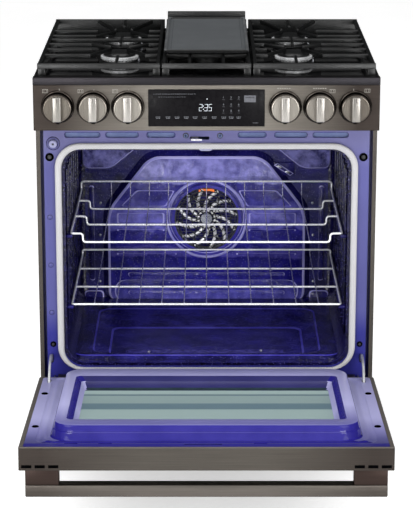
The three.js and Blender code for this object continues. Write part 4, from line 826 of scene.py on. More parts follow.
def makeGasket():
    g = gasketRope
    bm = bmesh.new()
    middle, deep = (g["front"] + g["back"]) / 2, (g["back"] - g["front"]) / 2

    def squared(value):
        return math.copysign(abs(value) ** g["squareness"], value)

    outlines = []
    for i in range(g["points"]):
        a = math.tau * i / g["points"]
        out = g["wide"] / 2 * (1 - squared(math.cos(a)))
        outlines.append(upright(-g["half"] - out, g["half"] + out, g["low"] - out * g["lowShare"],
                                g["high"] + out * g["highShare"], middle - deep * squared(math.sin(a)),
                                g["corner"] + out * g["cornerShare"]))
    addLoft(bm, outlines, closed=True, steps=10)
    finishPiece(bm, "door_gasket_rope", ["door_gasket"], ["gasket"], sharp=80)


makeGasket()
print("gasket made")


# Door: pressed inner panel with a dished window, the coated glass, the outer skin and the bar handle.
# A notch is (x0, x1, z0, z1); the first takes the latch and is deeper. A press step is (half width, bottom,
# top, y from the hinge plane, corner radius, skin), from the rim inwards and back behind the sheet.

door = {
    "border": 367.5, "low": 230.5, "high": 785.5, "face": -12, "crownFace": 18,
    "latchNotch": (-45, 32, 764, 772), "latchDepth": 12, "notchDepth": 2.6,
    "notches": ((95, 123, 760, 765), (-218, -190, 760, 765), (-287, -259, 760, 765)),
    "holes": ((354, 373), (354, 638.5)), "armSlots": (352, 4, 249, 275),
    "steps": (
        (346.2, 236.8, 760.2, -13.4, 24, 0), (346.2, 236.8, 760.2, -12, 24, 0), (343, 240, 757, -13.6, 24, 0),
        (336, 246, 752, -13.6, 30, 0), (333.5, 247.5, 750, -12.4, 32, 0), (329, 250, 748, -12.4, 34, 0),
        (325.5, 251, 746.5, -13.8, 36, 0), (319, 252.5, 740.5, -13.8, 43, 1), (316, 254.5, 738, -11, 44, 1),
        (314.2, 257, 734.5, 2, 44, 1), (313.2, 258.5, 732.6, 3.2, 44, 1), (311.8, 260.5, 730.2, 12, 44, 1),
        (310, 262.8, 728, 16, 43, 0), (306, 267, 724.5, 18, 40, 0), (287, 331, 689, 18, 12, 1),
        (283.5, 334.5, 685.5, 16.8, 11, 1), (277, 344, 676, 11, 10, 4), (275.4, 346.5, 674, 10, 10, 1),
        (274.4, 347.5, 673, 9, 10, 4), (269, 362, 661, -1, 9, 4), (266.3, 371.6, 655.4, -2.8, 8, 4),
        (265.6, 372.4, 654.6, -2.95, 8, 4), (274.5, 363.5, 663.5, -3.15, 8, 0), (274.5, 363.5, 663.5, -8, 8, 0),
        (284, 340, 680, -17, 9, 0), (344, 239, 758, -17, 23, 0)),
}


# The press steps' skins are changed here to paint light and shade: the channel along the top takes the
# darker wall enamel as painted shade, the near side of the window's slope its own darker tone as painted
# shade, the slope's ends the flat enamel near the sheet and painted shade higher up, and its foot is the seal.
def paintInnerPanel(bm, face, crown):
    flat, deep, slope, seal = 0, 1, 4, 5
    for f in bm.faces:
        x, y, z = f.calc_center_median()
        x = abs(x)
        if z > 739 and x < 330 and face - 3 < y < face and f.calc_area() > 20:
            f.material_index = deep
        onSlope = crown - 0.05 > y > -3.2 and x < 286 and f.material_index in (deep, slope)
        if onSlope and z < 372:
            f.material_index = slope
        if f.material_index == slope and x > 264:
            f.material_index = flat if y < 9.6 else deep
        if 357 < z < 373 and x < 262 and -3.2 < y < 3:
            f.material_index = seal


def makeInnerPanel():
    d = door
    bm = bmesh.new()
    face = d["face"]
    notches = ((d["latchNotch"], d["latchDepth"]), *((notch, d["notchDepth"]) for notch in d["notches"]))
    holes = [upright(-346, 346, 237, 760, face, 24)] + [upright(*notch, face, 1.5) for notch, _ in notches]
    x, half, low, high = d["armSlots"]
    for side, _ in sides:
        holes.append(upright(side * x - half, side * x + half, low, high, face, 3.6))
        holes += [uprightSquare(side * at, z, 5.2, face, 5.1) for at, z in d["holes"]]
    addPlate(bm, upright(-d["border"], d["border"], d["low"], d["high"], face, 6), holes, (0, -1.4, 0))
    # The steps' skins put painted shade on the walls of the crown and the window's recess.
    addLoft(bm, [upright(-half, half, *rest) for half, *rest, _ in d["steps"]], closed=True, steps=6,
            finishes=[skin for *_, skin in d["steps"]])
    paintInnerPanel(bm, face, d["crownFace"])
    for side, _ in sides:
        for at, z in d["holes"]:
            addTurned(bm, [(0, face - 1.6), (7, face - 1.6), (7.4, face + 0.6), (6, face + 2.2), (0, face + 2.6)],
                      (side * at, 0, z), "Y", 24, skin=3)
    for (x0, x1, z0, z1), depth in notches:
        out = depth / 3
        addBox(bm, x0 - out, x1 + out, face - depth, face - depth + 0.9, z0 - out, z1 + out, skin=2)
    finishPiece(bm, "door_inner_panel_enamelled", ["door_inner_panel"],
                ["doorEnamel", "wallEnamel", "slate", "blackAndPaintedShade", "slopeEnamel", "glassSeal"], onDoor=True)


# A pane is (half width, bottom, top, y of its near face, skin).
doorGlass = {"panes": ((273, 365, 662, -3.3, 0), (265, 373, 654, -54.6, 2)), "thick": 3.9,
             "spacer": ((263, 375, 652, 5), (261, 377, 650, 4)), "spacerY": (-54.6, -7.3)}


def makeDoorGlass():
    g = doorGlass
    bm = bmesh.new()
    for half, low, high, y, skin in g["panes"]:
        addPlate(bm, upright(-half, half, low, high, y, 6), [], (0, -g["thick"], 0), skin=skin)
    (far, near), (outer, inner) = g["spacerY"], g["spacer"]
    frames = [upright(-half, half, low, high, y, radius)
              for (half, low, high, radius), y in ((outer, far), (outer, near), (inner, near), (inner, far))]
    # The spacer between the panes is flat black: painted shade in the gap between them.
    addLoft(bm, frames, closed=True, skin=1)
    finishPiece(bm, "door_glass_panes", ["door_glass"], ["windowGlass", "blackAndPaintedShade", "outerGlass"], edge=0.5, onDoor=True)


# The sheet and its window are (half width, bottom, top, corner radius), and a step of the folded edge is
# (half width, bottom, top, y, corner radius, skin).
doorSkin = {
    "face": -60, "thick": 1.2, "sheet": (377, 224, 792, 3), "window": (258, 380, 647, 6),
    "steps": ((375.8, 225.2, 790.8, -58.9, 2, 0), (377, 224, 792, -58.9, 3, 0), (377, 224, 792, -13.5, 3, 2),
              (375.6, 225.4, 790.6, -12, 3, 2), (368, 230, 786, -12, 4, 2), (368, 230, 786, -13.2, 4, 0),
              (375.8, 225.2, 790.8, -13.2, 2, 0)),
    "dashes": (361, 334, 307), "dashHalf": 10.5, "dashY": (-55.5, -48.5), "dashZ": (791.2, 792.25),
}


def makeDoorSkin():
    d = doorSkin
    bm = bmesh.new()
    sheet, window = (upright(-half, half, low, high, d["face"], radius)
                     for half, low, high, radius in (d["sheet"], d["window"]))
    addPlate(bm, sheet, [window], (0, d["thick"], 0))
    addLoft(bm, [upright(-half, half, *rest) for half, *rest, _ in d["steps"]], closed=True, steps=4,
            finishes=[skin for *_, skin in d["steps"]])
    for side, _ in sides:
        for x in d["dashes"]:
            # The dashes are slots in the folded top edge, flat black boxes: painted shade in the slots.
            addBox(bm, side * x - d["dashHalf"], side * x + d["dashHalf"], *d["dashY"], *d["dashZ"], skin=1,
                   round=0.5, steps=1)
    finishPiece(bm, "door_outer_skin", ["door_skin"], ["doorSteel", "blackAndPaintedShade", "rimSteel"], edge=0.5, onDoor=True)


# Boxes of (x0, x1, y0, y1, z0, z1): the bar, and on each side a post and the pad under it.
handle = {"bar": (-366, 366, -123, -98, 735, 768), "post": (298, 366, -98.6, -60.3, 737, 766),
          "pad": (304, 360, -61.6, -60.4, 734.5, 768.5)}


def makeHandle():
    bm = bmesh.new()
    addBox(bm, *handle["bar"], round=2.2, steps=3)
    for side, _ in sides:
        for key, softened in (("post", 1.2), ("pad", 0.0)):
            x0, x1, *rest = handle[key]
            addBox(bm, side * x0, side * x1, *rest, skin=1, round=softened)
    finishPiece(bm, "door_handle_bar", ["door_handle"], ["handleSteel", "postSteel"], onDoor=True)


makeInnerPanel()
makeDoorGlass()
makeDoorSkin()
makeHandle()
print("door made")


# Control panel: folded steel sheet with six ring bezels, printed marks and the display glass.
# The printed marks are icons (x, z), rows of dashes (x0, x1, z) and ticks (x, z). A bezel is (radius, y) points
# and has a pointer at its foot, (half width, y0, y1, z0, z1) from the knob's middle.

panel = {
    "half": 378, "low": 797, "high": 898.7, "face": -60, "back": -2.3, "knobZ": 850,
    "display": (-127, 127, 807, 889), "icons": ((-351, 885), (-274, 885), (-199, 885), (274, 885), (350, 886)),
    "dashRows": ((154, 183, 891), (232, 259, 891)), "ticks": ((-320, 888), (320, 888), (-245, 886), (-169, 886)),
    "dash": 3.4, "dashPitch": 5, "inkFront": -60.12, "inkBack": -60.02,
    "bezel": ((31.6, -59.7), (31.9, -62.4), (32.6, -63.6), (33.6, -64), (34.6, -63.4), (35.4, -62.2), (36.5, -61),
              (36.8, -59.7)),
    "disc": ((7, -60.1), (31.6, -60.1), (31.6, -59.8), (7, -59.8)), "pointer": (3.6, -63.9, -61.5, -37.5, -33.5),
}
knobNames = {-324.5: "left_front", -247: "left_rear", -171.5: "middle", 171.5: "oven", 247: "right_front",
             324.5: "right_rear"}


def makeControlPanel():
    p = panel
    bm = bmesh.new()
    face, back, knobZ, ink = p["face"], p["back"], p["knobZ"], (p["inkFront"], p["inkBack"])

    def inset(by, y, radius=1):
        return upright(by - p["half"], p["half"] - by, p["low"] + by, p["high"] - by, y, radius)

    x0, x1, z0, z1 = p["display"]
    holes = [upright(x0 + 6, x1 - 6, z0 + 6, z1 - 6, face, 2)]
    holes += [uprightSquare(x, knobZ, 7, face, 6.9) for x in knobNames]
    addPlate(bm, inset(1.4, face), holes, (0, 1.5, 0))
    addLoft(bm, [inset(1.5, face), inset(0.4, face + 0.5), inset(0, face + 1.6), inset(0, back), inset(1.5, back),
                 inset(1.5, face + 1.5)], closed=True, steps=2)
    for x in knobNames:
        addTurned(bm, p["bezel"], (x, 0, knobZ), "Y", 56, skin=1, closed=True)
        # A flat black disc under each knob: painted shade in the gap round the knob.
        addTurned(bm, p["disc"], (x, 0, knobZ), "Y", 40, skin=4, closed=True)
        half, y0, y1, low, high = p["pointer"]
        addBox(bm, x - half, x + half, y0, y1, knobZ + low, knobZ + high, skin=4, round=0.5)
    for x, z in p["icons"]:
        icon = [upright(x - wide, x + wide, z - wide + 2, z + wide - 2, y)
                for wide, y in ((6, ink[0]), (5.3, ink[0]), (5.3, ink[1]), (6, ink[1]))]
        addLoft(bm, icon, closed=True, skin=3)
        for dx in (-2.6, 2.6):
            for dz in (-1.5, 1.5):
                addRod(bm, (x + dx, ink[0], z + dz), (x + dx, ink[1], z + dz), 0.8, 8, skin=3)
    for start, end, z in p["dashRows"]:
        for i in range(math.ceil((end - start) / p["dashPitch"])):
            x = start + i * p["dashPitch"]
            addBox(bm, x, x + p["dash"], *ink, z - 0.9, z + 0.9, skin=3)
    for x, z in p["ticks"]:
        addBox(bm, x - 0.6, x + 0.6, *ink, z - 2.4, z + 2.4, skin=3)
    finishPiece(bm, "control_panel_sheet", ["control_panel"], ["blackSteel", "bezel", "blackAndPaintedShade", "panelInk", "blackAndPaintedShade"])


# The knob is a disc with a finger grip across it. Both have the bore that the valve's stem runs in. The disc
# is (radius, y) points; the grip and the mark on it are (half width, y0, y1, z0, z1) from the knob's middle,
# and the grip's foot is (half width, half height, y, thickness).
knob = {
    "disc": ((5.4, -67.3), (29.4, -67.3), (30.7, -68.4), (31, -70), (31, -82.2), (30.5, -83.4), (29, -84.2),
             (27.6, -84.3), (26.8, -83.7), (5.4, -83.7)),
    "paintedShadeFrom": 28.6, "bore": 5.4, "grip": (9.5, -97.3, -84.9, -27.5, 27.5), "foot": (9.4, 27.4, -87, 4),
    "mark": (0.5, -97.38, -97.2, 15, 25),
}


def makeKnobs():
    z, k = panel["knobZ"], knob
    footHalf, footReach, footY, footThick = k["foot"]
    for x, name in knobNames.items():
        bm = bmesh.new()

        def across(key, **looks):
            half, y0, y1, low, high = k[key]
            addBox(bm, x - half, x + half, y0, y1, z + low, z + high, **looks)

        addTurned(bm, k["disc"], (x, 0, z), "Y", 56, closed=True)
        # Faces out past the disc's front rim take the dark ring finish: painted shade on the knob's side.
        for f in bm.faces:
            middle = f.calc_center_median()
            if math.hypot(middle.x - x, middle.z - z) > k["paintedShadeFrom"]:
                f.material_index = 2
        across("grip", skin=1, round=2.4, steps=3)
        addPlate(bm, upright(x - footHalf, x + footHalf, z - footReach, z + footReach, footY, 2),
                 [uprightSquare(x, z, k["bore"], footY, k["bore"] - 0.01)], (0, footThick, 0), skin=1)
        across("mark", skin=2)
        finishPiece(bm, name + "_knob_plated", [name + "_knob"], ["knobNickel", "gripNickel", "bezel"], edge=0.25,
                    edgeAngle=50)


# Display: lit clock digits made of leaning strokes, a keypad, and printed labels as bare dashes. A dash row is
# (count, first x, pitch, length, unevenness, z0, z1), a mark (x0, x1, z0, z1, skin).

clock = {
    "face": -62.3, "back": -60.3, "ink": -62.36,
    "digits": ((-12.6, "2"), (-1.2, "3"), (8, "5")), "segments": {"2": "abged", "3": "abgcd", "5": "afgcd"},
    "height": 15, "width": 6.6, "stroke": 0.55, "z": 849, "lean": 0.08,
    "keyX": (36.9, 53.5, 70.3), "keyZ": (871.5, 855.7, 841.7), "keyHeight": 4.6, "keyHalf": 2.6,
    "labels": (-105.7, -83.7, -64.1, -44.1, -24.6, -4.1, 16.9, 37.5, 54.1, 70.2), "labelZ": 826.7,
    "labelRows": ((1.5, 5.2), (-1.4, 4)),
    "dashRows": ((20, -116, 4.7, 2.8, 0.5, 878.4, 879.5), (12, -104, 5, 3, 0, 872, 872.9)),
    "marks": ((-7.4, -5.8, 844.7, 846.3, 1), (-7.4, -5.8, 851.7, 853.3, 1), (0.3, 2.1, 867.3, 868.9, 1),
              (82, 107.5, 861, 876, 3), (85, 104.5, 871, 872.2, 2), (101, 113, 814.6, 815.6, 3)),
}


def makeDisplay():
    c = clock
    bm = bmesh.new()
    x0, x1, z0, z1 = panel["display"]
    addBox(bm, x0, x1, c["face"], c["back"], z0, z1, round=0.5)

    def mark(x0, x1, z0, z1, skin):
        addBox(bm, x0, x1, c["ink"], c["ink"] + 0.1, z0, z1, skin)

    w, h, t = c["width"] / 2, c["height"] / 2, c["stroke"]
    strokes = {"a": (-w, w, h - t, h), "g": (-w, w, -t / 2, t / 2), "d": (-w, w, -h, -h + t),
               "f": (-w, -w + t, 0, h), "b": (w - t, w, 0, h), "e": (-w, -w + t, -h, 0), "c": (w - t, w, -h, 0)}
    for x, digit in c["digits"]:
        for segment in c["segments"][digit]:
            x0, x1, z0, z1 = strokes[segment]
            middle = x + (z0 + z1) / 2 * c["lean"]
            mark(middle + x0, middle + x1, c["z"] + z0, c["z"] + z1, 1)
    for row, z in enumerate(c["keyZ"]):
        for column, x in enumerate(c["keyX"]):
            addFigures(bm, str(3 * row + column + 1), x, c["ink"] + 0.05, z, c["keyHeight"], skin=2)
            mark(x - c["keyHalf"], x + c["keyHalf"], z - 4.9, z - 4.4, 3)
    for x in c["labels"]:
        for dz, half in c["labelRows"]:
            for dash in (-half, -half / 3 + 0.3, half / 3 + 0.6):
                mark(x + dash, x + dash + half * 0.5, c["labelZ"] + dz - 0.6, c["labelZ"] + dz + 0.6, 2)
    for count, start, pitch, length, uneven, z0, z1 in c["dashRows"]:
        for i in range(count):
            mark(start + i * pitch, start + i * pitch + length + i % 3 * uneven, z0, z1, 3)
    for row in c["marks"]:
        mark(*row)
    finishPiece(bm, "display_glass_panel", ["display_glass"], ["blackGlass", "clockInk", "keyInk", "greyInk"])


makeControlPanel()
makeKnobs()
makeDisplay()
print("control panel made")


# Racks: chromed wires bent and spot welded. The upper one's deck hangs lower than its side rails.

racks = {
    "half": 305.5, "wire": 2.4, "fine": 1.3, "fineCount": 11, "shelf": 27, "bend": 8, "fineBend": 5,
    "upper_rack": {"level": 544, "drop": 20, "cross": (22, 181, 333), "back": 447, "rise": 21},
    "lower_rack": {"level": 378, "drop": 0, "cross": (22, 166, 324), "back": 456, "rise": 12},
}


def makeRack(node):
    r, own = racks, racks[node]
    half, level, deck = r["half"], own["level"], own["level"] - own["drop"]
    front, back, top = own["cross"][0], own["back"], level + own["rise"]
    middle = half - (r["shelf"] if own["drop"] else 0)

    def across(y):
        dip = [(-middle, y, level), (-middle, y, deck), (middle, y, deck), (middle, y, level)] if own["drop"] else []
        return [(-half, y, level), *dip, (half, y, level)]

    bm = bmesh.new()
    near, start = across(front), (0, front, deck)
    left, right = near[:len(near) // 2], near[len(near) // 2:]
    rear = [(half, back, level), (half, back, top), (-half, back, top), (-half, back, level)]
    for path in ([start, *right, *rear, *left, start], *(across(y) for y in own["cross"][1:])):
        addWire(bm, path, r["wire"], r["bend"], steps=3)
    fineZ, count = deck + r["wire"] + r["fine"] - 0.6, r["fineCount"]
    for i in range(count):
        x = -middle + (i + 1) / (count + 1) * middle * 2
        addWire(bm, [(x, front, fineZ - 0.6), (x, back - 3, fineZ), (x, back - 3, top - 1.5)], r["fine"],
                r["fineBend"], skin=1)
    finishPiece(bm, node + "_wires", [node], ["chrome", "fineChrome"], sharp=60)


for node in ("upper_rack", "lower_rack"):
    makeRack(node)
print("racks made")


# Fan cover: a shallow drum with curved slots round a hub, with the element's glow behind its top. The curved slots
# and the rings of slots are black ribs and rings over a disc in the shaded enamel, all painted shade, and a ring
# of the paler enamel at the rim is a painted highlight.

fanCover = {
    "z": 466, "radius": 86, "face": 464.7, "back": 486.7, "rim": 96, "rings": (24, 36, 48, 60, 70, 78),
    "ribs": 12, "ribWire": 1.1, "ribTurn": 0.75, "vaneWire": 4.2, "vaneStart": 0.3, "vaneTurn": -0.7, "bends": 6,
    "screenRows": 10, "screenPitch": 8.1, "screenWire": 0.6, "glow": (-19, 19, 67.5, 74.5),
}


def makeFanCover():
    f = fanCover
    bm = bmesh.new()
    centre = (0, 0, f["z"])
    r, rim, face, back = f["radius"], f["rim"], f["face"], f["back"]

    def turned(profile, skin=0, steps=48, closed=True):
        addTurned(bm, profile, centre, "Y", steps, skin, closed)

    def swept(first, last, start, turn, y):
        spots = [(first + (last - first) * k / f["bends"], start + turn * k / f["bends"])
                 for k in range(f["bends"] + 1)]
        return [(reach * math.cos(a), y, f["z"] + reach * math.sin(a)) for reach, a in spots]

    turned([(r - 8, face + 1.4), (r - 2.4, face + 4), (r - 1.4, face + 8), (r - 1.4, back - 1.4), (r + 6, back - 0.1),
            (rim, back - 0.1), (rim, back - 1.3), (r + 7, back - 1.8), (r, back - 2.6), (r, face + 7),
            (r - 1.2, face + 2.4), (r - 7.4, face)], steps=64)
    # A ring of the paler enamel: painted highlight.
    turned([(r + 4, back - 1.6), (r + 4.6, back - 3.6), (r + 6.2, back - 3.6), (r + 7, back - 1.4)], 5, 64)
    turned([(0, face + 1.4), (14, face + 1.4), (14, face), (0, face)], 2, 32, False)
    # The rings and curved ribs are black: painted shade in the slots.
    for ring in f["rings"]:
        turned([(ring - 1.1, face + 1.3), (ring + 1.1, face + 1.3), (ring + 1.1, face + 0.1),
                (ring - 1.1, face + 0.1)], 6)
    for i in range(f["ribs"]):
        start = math.tau * i / f["ribs"]
        addWire(bm, swept(13, r - 8, start, f["ribTurn"], face + 0.9), f["ribWire"], steps=1, skin=6)
        addWire(bm, swept(18, r - 12, start + f["vaneStart"], f["vaneTurn"], face + 6), f["vaneWire"], skin=1)
    for i in range(-f["screenRows"], f["screenRows"] + 1):
        z = i * f["screenPitch"]
        reach = math.sqrt((r - 4) ** 2 - z * z)
        addWire(bm, [(-reach, face + 2.2, f["z"] + z), (reach, face + 2.2, f["z"] + z)], f["screenWire"], steps=0,
                skin=2)
    # The disc behind the slots is in the shaded enamel: painted shade.
    turned([(0, back - 4), (r - 2, back - 4), (r - 2, back - 3), (0, back - 3)], 3, closed=False)
    x0, x1, z0, z1 = f["glow"]
    addBox(bm, x0, x1, face + 3.4, face + 5, f["z"] + z0, f["z"] + z1, skin=4, round=0.7)
    finishPiece(bm, "fan_cover_pierced", ["fan_cover"],
                ["deepEnamel", "chrome", "steelScrew", "shadeEnamel", "glow", "paintedHighlightEnamel", "capIron"], sharp=40)


# Oven lamp: a small glass lens behind a chromed cross-bar cover, set on the slant of the wall. The lens is a plate
# in painted shade; of the bars, the long one is a painted highlight, the next painted shade, and the two short ones
# plated.

lampCover = {"plate": (163.5, 216.5, 499.5, 504.7, 567.5, 600.5),
             "place": (190, 496.8, 584), "slant": 45, "squash": (0.92, 1, 0.6),
             "bars": ((-31, 31, -3.4, 0, -7, 7, 2, 1.5), (-29, 29, -4.6, -1, -4.6, 4.6, 1, 1.5),
                      (-24, -10, -6.4, -4.2, -4.6, 4.6, 0, 1), (8, 22, -6.4, -4.2, -4.6, 4.6, 0, 1))}


def makeLamp():
    bm = bmesh.new()
    addBox(bm, *lampCover["plate"], skin=1, round=2)
    part = bmesh.new()
    for bar in lampCover["bars"]:
        addBox(part, *bar)
    squash = Matrix.Diagonal(lampCover["squash"]) @ Matrix.Rotation(math.radians(lampCover["slant"]), 3, "Y")
    bmesh.ops.transform(part, matrix=squash.to_4x4(), verts=part.verts)
    settle(part, lampCover["place"])
    absorb(bm, part)
    finishPiece(bm, "oven_lamp_cover", ["oven_lamp"], ["steelScrew", "shadeEnamel", "paintedHighlightEnamel"])


makeFanCover()
makeLamp()
print("fan cover and lamp made")


# Burners: machined aluminium bases with flame ports, enamelled caps, and an oval burner in the middle.
# The profiles are (radius, height) from the cooktop's floor, or for the head's top and the cap from the
# cap's underside.

burners = {
    "x": 198, "rows": (("front", 180), ("rear", 420)), "floor": 905, "stemFoot": 885, "stem": 22, "capLow": 923,
    "base": ((45, 0), (46, 1), (46, 2.6), (44.6, 3.4), (40, 4.4), (38.6, 6), (38.2, 7.5)),
    "head": ((38.2, 7.5), (38.2, 9), (41.5, 10.5), (43, 11.4), (43, 16.2)),
    "headTop": ((41.6, -0.7), (38.2, -0.3), (0, -0.3)),
    "cap": ((0, 0), (35.4, 0), (36.6, 1), (37, 2.8), (36.4, 5), (34.4, 6.8), (31, 7.4), (28.6, 8.4), (26, 9), (0, 9)),
    "ports": 28, "portIn": 37.4, "portOut": 38.8, "igniter": (44, -8), "ovalY": 267, "ovalReach": 62,
}


def raised(profile, by):
    return [(radius, height + by) for radius, height in profile]


def makeBurner(name, x, y):
    b = burners
    low, cap, foot = b["floor"] + 0.3, b["capLow"], b["stemFoot"]
    bm = bmesh.new()
    stem = [(0, foot), (b["stem"], foot), (b["stem"], low)]
    addTurned(bm, stem + raised(b["base"], low), (x, y, 0), steps=64, skin=4)
    addTurned(bm, raised(b["head"], low) + raised(b["headTop"], cap), (x, y, 0), steps=64)
    for i in range(b["ports"]):
        a = math.tau * i / b["ports"]
        start, end = ((x + reach * math.cos(a), y + reach * math.sin(a), low + 9)
                      for reach in (b["portIn"], b["portOut"]))
        # The flame ports are flat black rods: painted shade in the ports.
        addRod(bm, start, end, 1.2, 8, skin=1)
    pin = (x + b["igniter"][0], y + b["igniter"][1])
    addRod(bm, (*pin, low + 2), (*pin, low + 9), 2.6, 16, skin=2, round=0.5)
    addRod(bm, (*pin, low + 9), (*pin, low + 14), 0.9, 8, skin=2)
    finishPiece(bm, name + "_burner_base_machined", [name + "_burner_base"],
                ["aluminium", "blackAndPaintedShade", "steelScrew", "steelScrew", "capIron"])
    bm = bmesh.new()
    addTurned(bm, raised(b["cap"], cap), (x, y, 0), steps=64)
    finishPiece(bm, name + "_burner_cap_enamelled", [name + "_burner_cap"], ["capIron"])


def makeCentreBurner():
    b = burners
    y, low, cap = b["ovalY"], b["floor"] + 0.3, b["capLow"] + 9
    bm = bmesh.new()
    addRod(bm, (0, y, b["stemFoot"]), (0, y, low + 1), b["stem"], 32)
    for steps, skin in ((((28, low), (28, low + 11), (27, low + 13)), 1),
                        (((29.5, cap - 14), (31, cap - 12), (31, cap - 4), (29, cap - 1), (26, cap)), 0)):
        addLoft(bm, [lying(-half, half, y - b["ovalReach"] - half, y + b["ovalReach"] + half, z, half * 0.999)
                     for half, z in steps], steps=12, skin=skin)
    finishPiece(bm, "centre_burner_enamelled", ["centre_burner"], ["capIron", "castIron"])


for side, sideName in sides:
    for row, y in burners["rows"]:
        makeBurner(sideName + "_" + row, side * burners["x"], y)
makeCentreBurner()
print("burners made")


# Cooktop: glossy enamelled pan with a raised rim, rear vent slots, and the dark steel trim along its front.
# A step is (inset at the sides, front, back, height above the floor, corner radius), up over the rim, down
# to the floor and back under the sheet.

cooktop = {
    "half": 378, "front": -37.7, "back": 625, "floor": 905, "rim": 913, "burnerHole": 23, "ventY": (600, 615),
    "ventPitch": 42, "ventHalf": 16,
    "steps": ((0.6, 0.6, 0.6, -6, 5), (0, 0, 0, -5.2, 6), (0, 0, 0, 6.4, 6), (1.6, 1.6, 1.6, 8, 6),
              (6, 6.6, 34, 8, 14), (9, 9.6, 37, 6, 16), (14, 14.6, 42, 0.8, 20), (18, 18.6, 46, 0, 22),
              (18, 18.6, 46, -1.2, 22), (13, 13.6, 41, -0.3, 19), (7.8, 8.4, 35.8, 5.1, 15),
              (5.4, 6, 33.4, 6.7, 13), (2.2, 2.2, 2.2, 6.7, 5), (1.3, 1.3, 1.3, 5.8, 5), (1.3, 1.3, 1.3, -5.2, 5)),
}


def makeCooktop():
    c = cooktop
    bm = bmesh.new()
    rim, floor, hole = c["rim"], c["floor"], c["burnerHole"]
    near, far = c["ventY"]

    def stepOutline(side, front, back, z, radius):
        return lying(side - c["half"], c["half"] - side, c["front"] + front, c["back"] - back, floor + z, radius)

    addLoft(bm, [stepOutline(*step) for step in c["steps"]], closed=True, steps=6)
    spots = [(side * burners["x"], y) for side, _ in sides for _, y in burners["rows"]] + [(0, burners["ovalY"])]
    addPlate(bm, stepOutline(17, 17.6, 45, 0, 22),
             [lying(x - hole, x + hole, y - hole, y + hole, floor, hole - 0.2) for x, y in spots], (0, 0, -1.2),
             steps=6)
    for i in range(-3, 4):
        x, half = i * c["ventPitch"], c["ventHalf"]
        # Each vent slot is a flat black box: painted shade in the slot.
        addBox(bm, x - half, x + half, near, far, rim - 0.6, rim + 0.05, skin=1, round=0.3)
        addBox(bm, x - half - 1.4, x + half + 1.4, near - 1.4, far + 1.4, rim - 0.4, rim + 0.02)
    finishPiece(bm, "cooktop_pan_enamelled", ["cooktop_pan"], ["panEnamel", "blackAndPaintedShade"])


# Boxes of (x0, x1, y0, y1, z0, z1): the sheet on top and the lip folded down from it.
frontTrim = {"top": (-378, 378, -62, -38, 913, 915), "lip": (-378, 378, -62, -60, 899, 914.4)}


def makeFrontTrim():
    bm = bmesh.new()
    addBox(bm, *frontTrim["top"], round=0.8)
    addBox(bm, *frontTrim["lip"], round=0.6)
    finishPiece(bm, "cooktop_front_trim_folded", ["cooktop_front_trim"], ["trimSteel"])


makeCooktop()
makeFrontTrim()
print("cooktop made")


# Grates: cast bars, tapered in section with rounded tops. A foot is (y0, y1, width), a finger (y at its
# root, y at its tip), and the spines run from y to y under the burner's middle.

grates = {
    "front": -44, "back": 578, "top": 943, "rail": 9, "bar": 7, "railDeep": 12, "backDeep": 34, "barDeep": 10,
    "floor": 905.3, "feet": ((-28, -19, 16), (259, 275, 8), (569.6, 576, 16)),
    "sideX": (101.5, 369), "bars": (83, 157, 228, 345, 415), "wholeBar": 292, "spread": 64, "reach": 19,
    "fingers": ((83, 165), (228, 195), (345, 405), (569, 435)), "spines": ((-43, 69), (226, 345), (480, 577)),
    "centreHalf": 97.5, "centreBars": (83, 190, 292, 395, 480), "centreSpines": ((-43, 83), (480, 577)),
    "centreSpineX": 0.38,
}


# A cast bar from one point to another: narrower at the top, with rounded edges.
def castBar(bm, x0, y0, x1, y1, width, z0, z1):
    length = math.hypot(x1 - x0, y1 - y0)
    part = bmesh.new()
    addBox(part, -length / 2, length / 2, -width / 2, width / 2, z0, z1, taper=0.8, round=min(1.6, width / 4))
    settle(part, ((x0 + x1) / 2, (y0 + y1) / 2, 0), Matrix.Rotation(math.atan2(y1 - y0, x1 - x0), 3, "Z"))
    absorb(bm, part)


def grateFrame(bm, x0, x1):
    g = grates
    front, back, top, half = g["front"], g["back"], g["top"], g["rail"] / 2
    castBar(bm, x0, front + half, x1, front + half, g["rail"], top - g["railDeep"], top)
    castBar(bm, x0, back - half, x1, back - half, g["rail"], top - g["backDeep"], top)
    for x in (x0 + half, x1 - half):
        castBar(bm, x, front + 1, x, back - 1, g["rail"], top - g["railDeep"], top - 0.2)
    for edge, inward in ((x0, 1), (x1, -1)):
        for near, far, wide in g["feet"]:
            addBox(bm, edge + inward * 0.5, edge + inward * wide, near, far, g["floor"], top - 9, round=1)


def makeSideGrate(side, name):
    g = grates
    bm = bmesh.new()
    x, spread = side * burners["x"], g["spread"]
    near, far = (side * edge for edge in g["sideX"])
    grateFrame(bm, min(near, far), max(near, far))

    def bar(x0, y0, x1, y1, lower=0.0, sink=0.0):
        castBar(bm, x0, y0, x1, y1, g["bar"], g["top"] - g["barDeep"] + lower, g["top"] - 0.5 - sink)

    bar(near + side, g["wholeBar"], far - side, g["wholeBar"])
    for y in g["bars"]:
        bar(near + side, y, x - side * (spread - 3), y)
        bar(x + side * (spread - 3), y, far - side, y)
    for root, tip in g["fingers"]:
        for way in (-1, 1):
            bar(x + way * (spread + 1), root, x + way * g["reach"], tip, 0.5, 0.4)
    for y0, y1 in g["spines"]:
        bar(x, y0, x, y1, 0.5, 0.4)
    finishPiece(bm, name + "_cast", [name], ["castIron"])


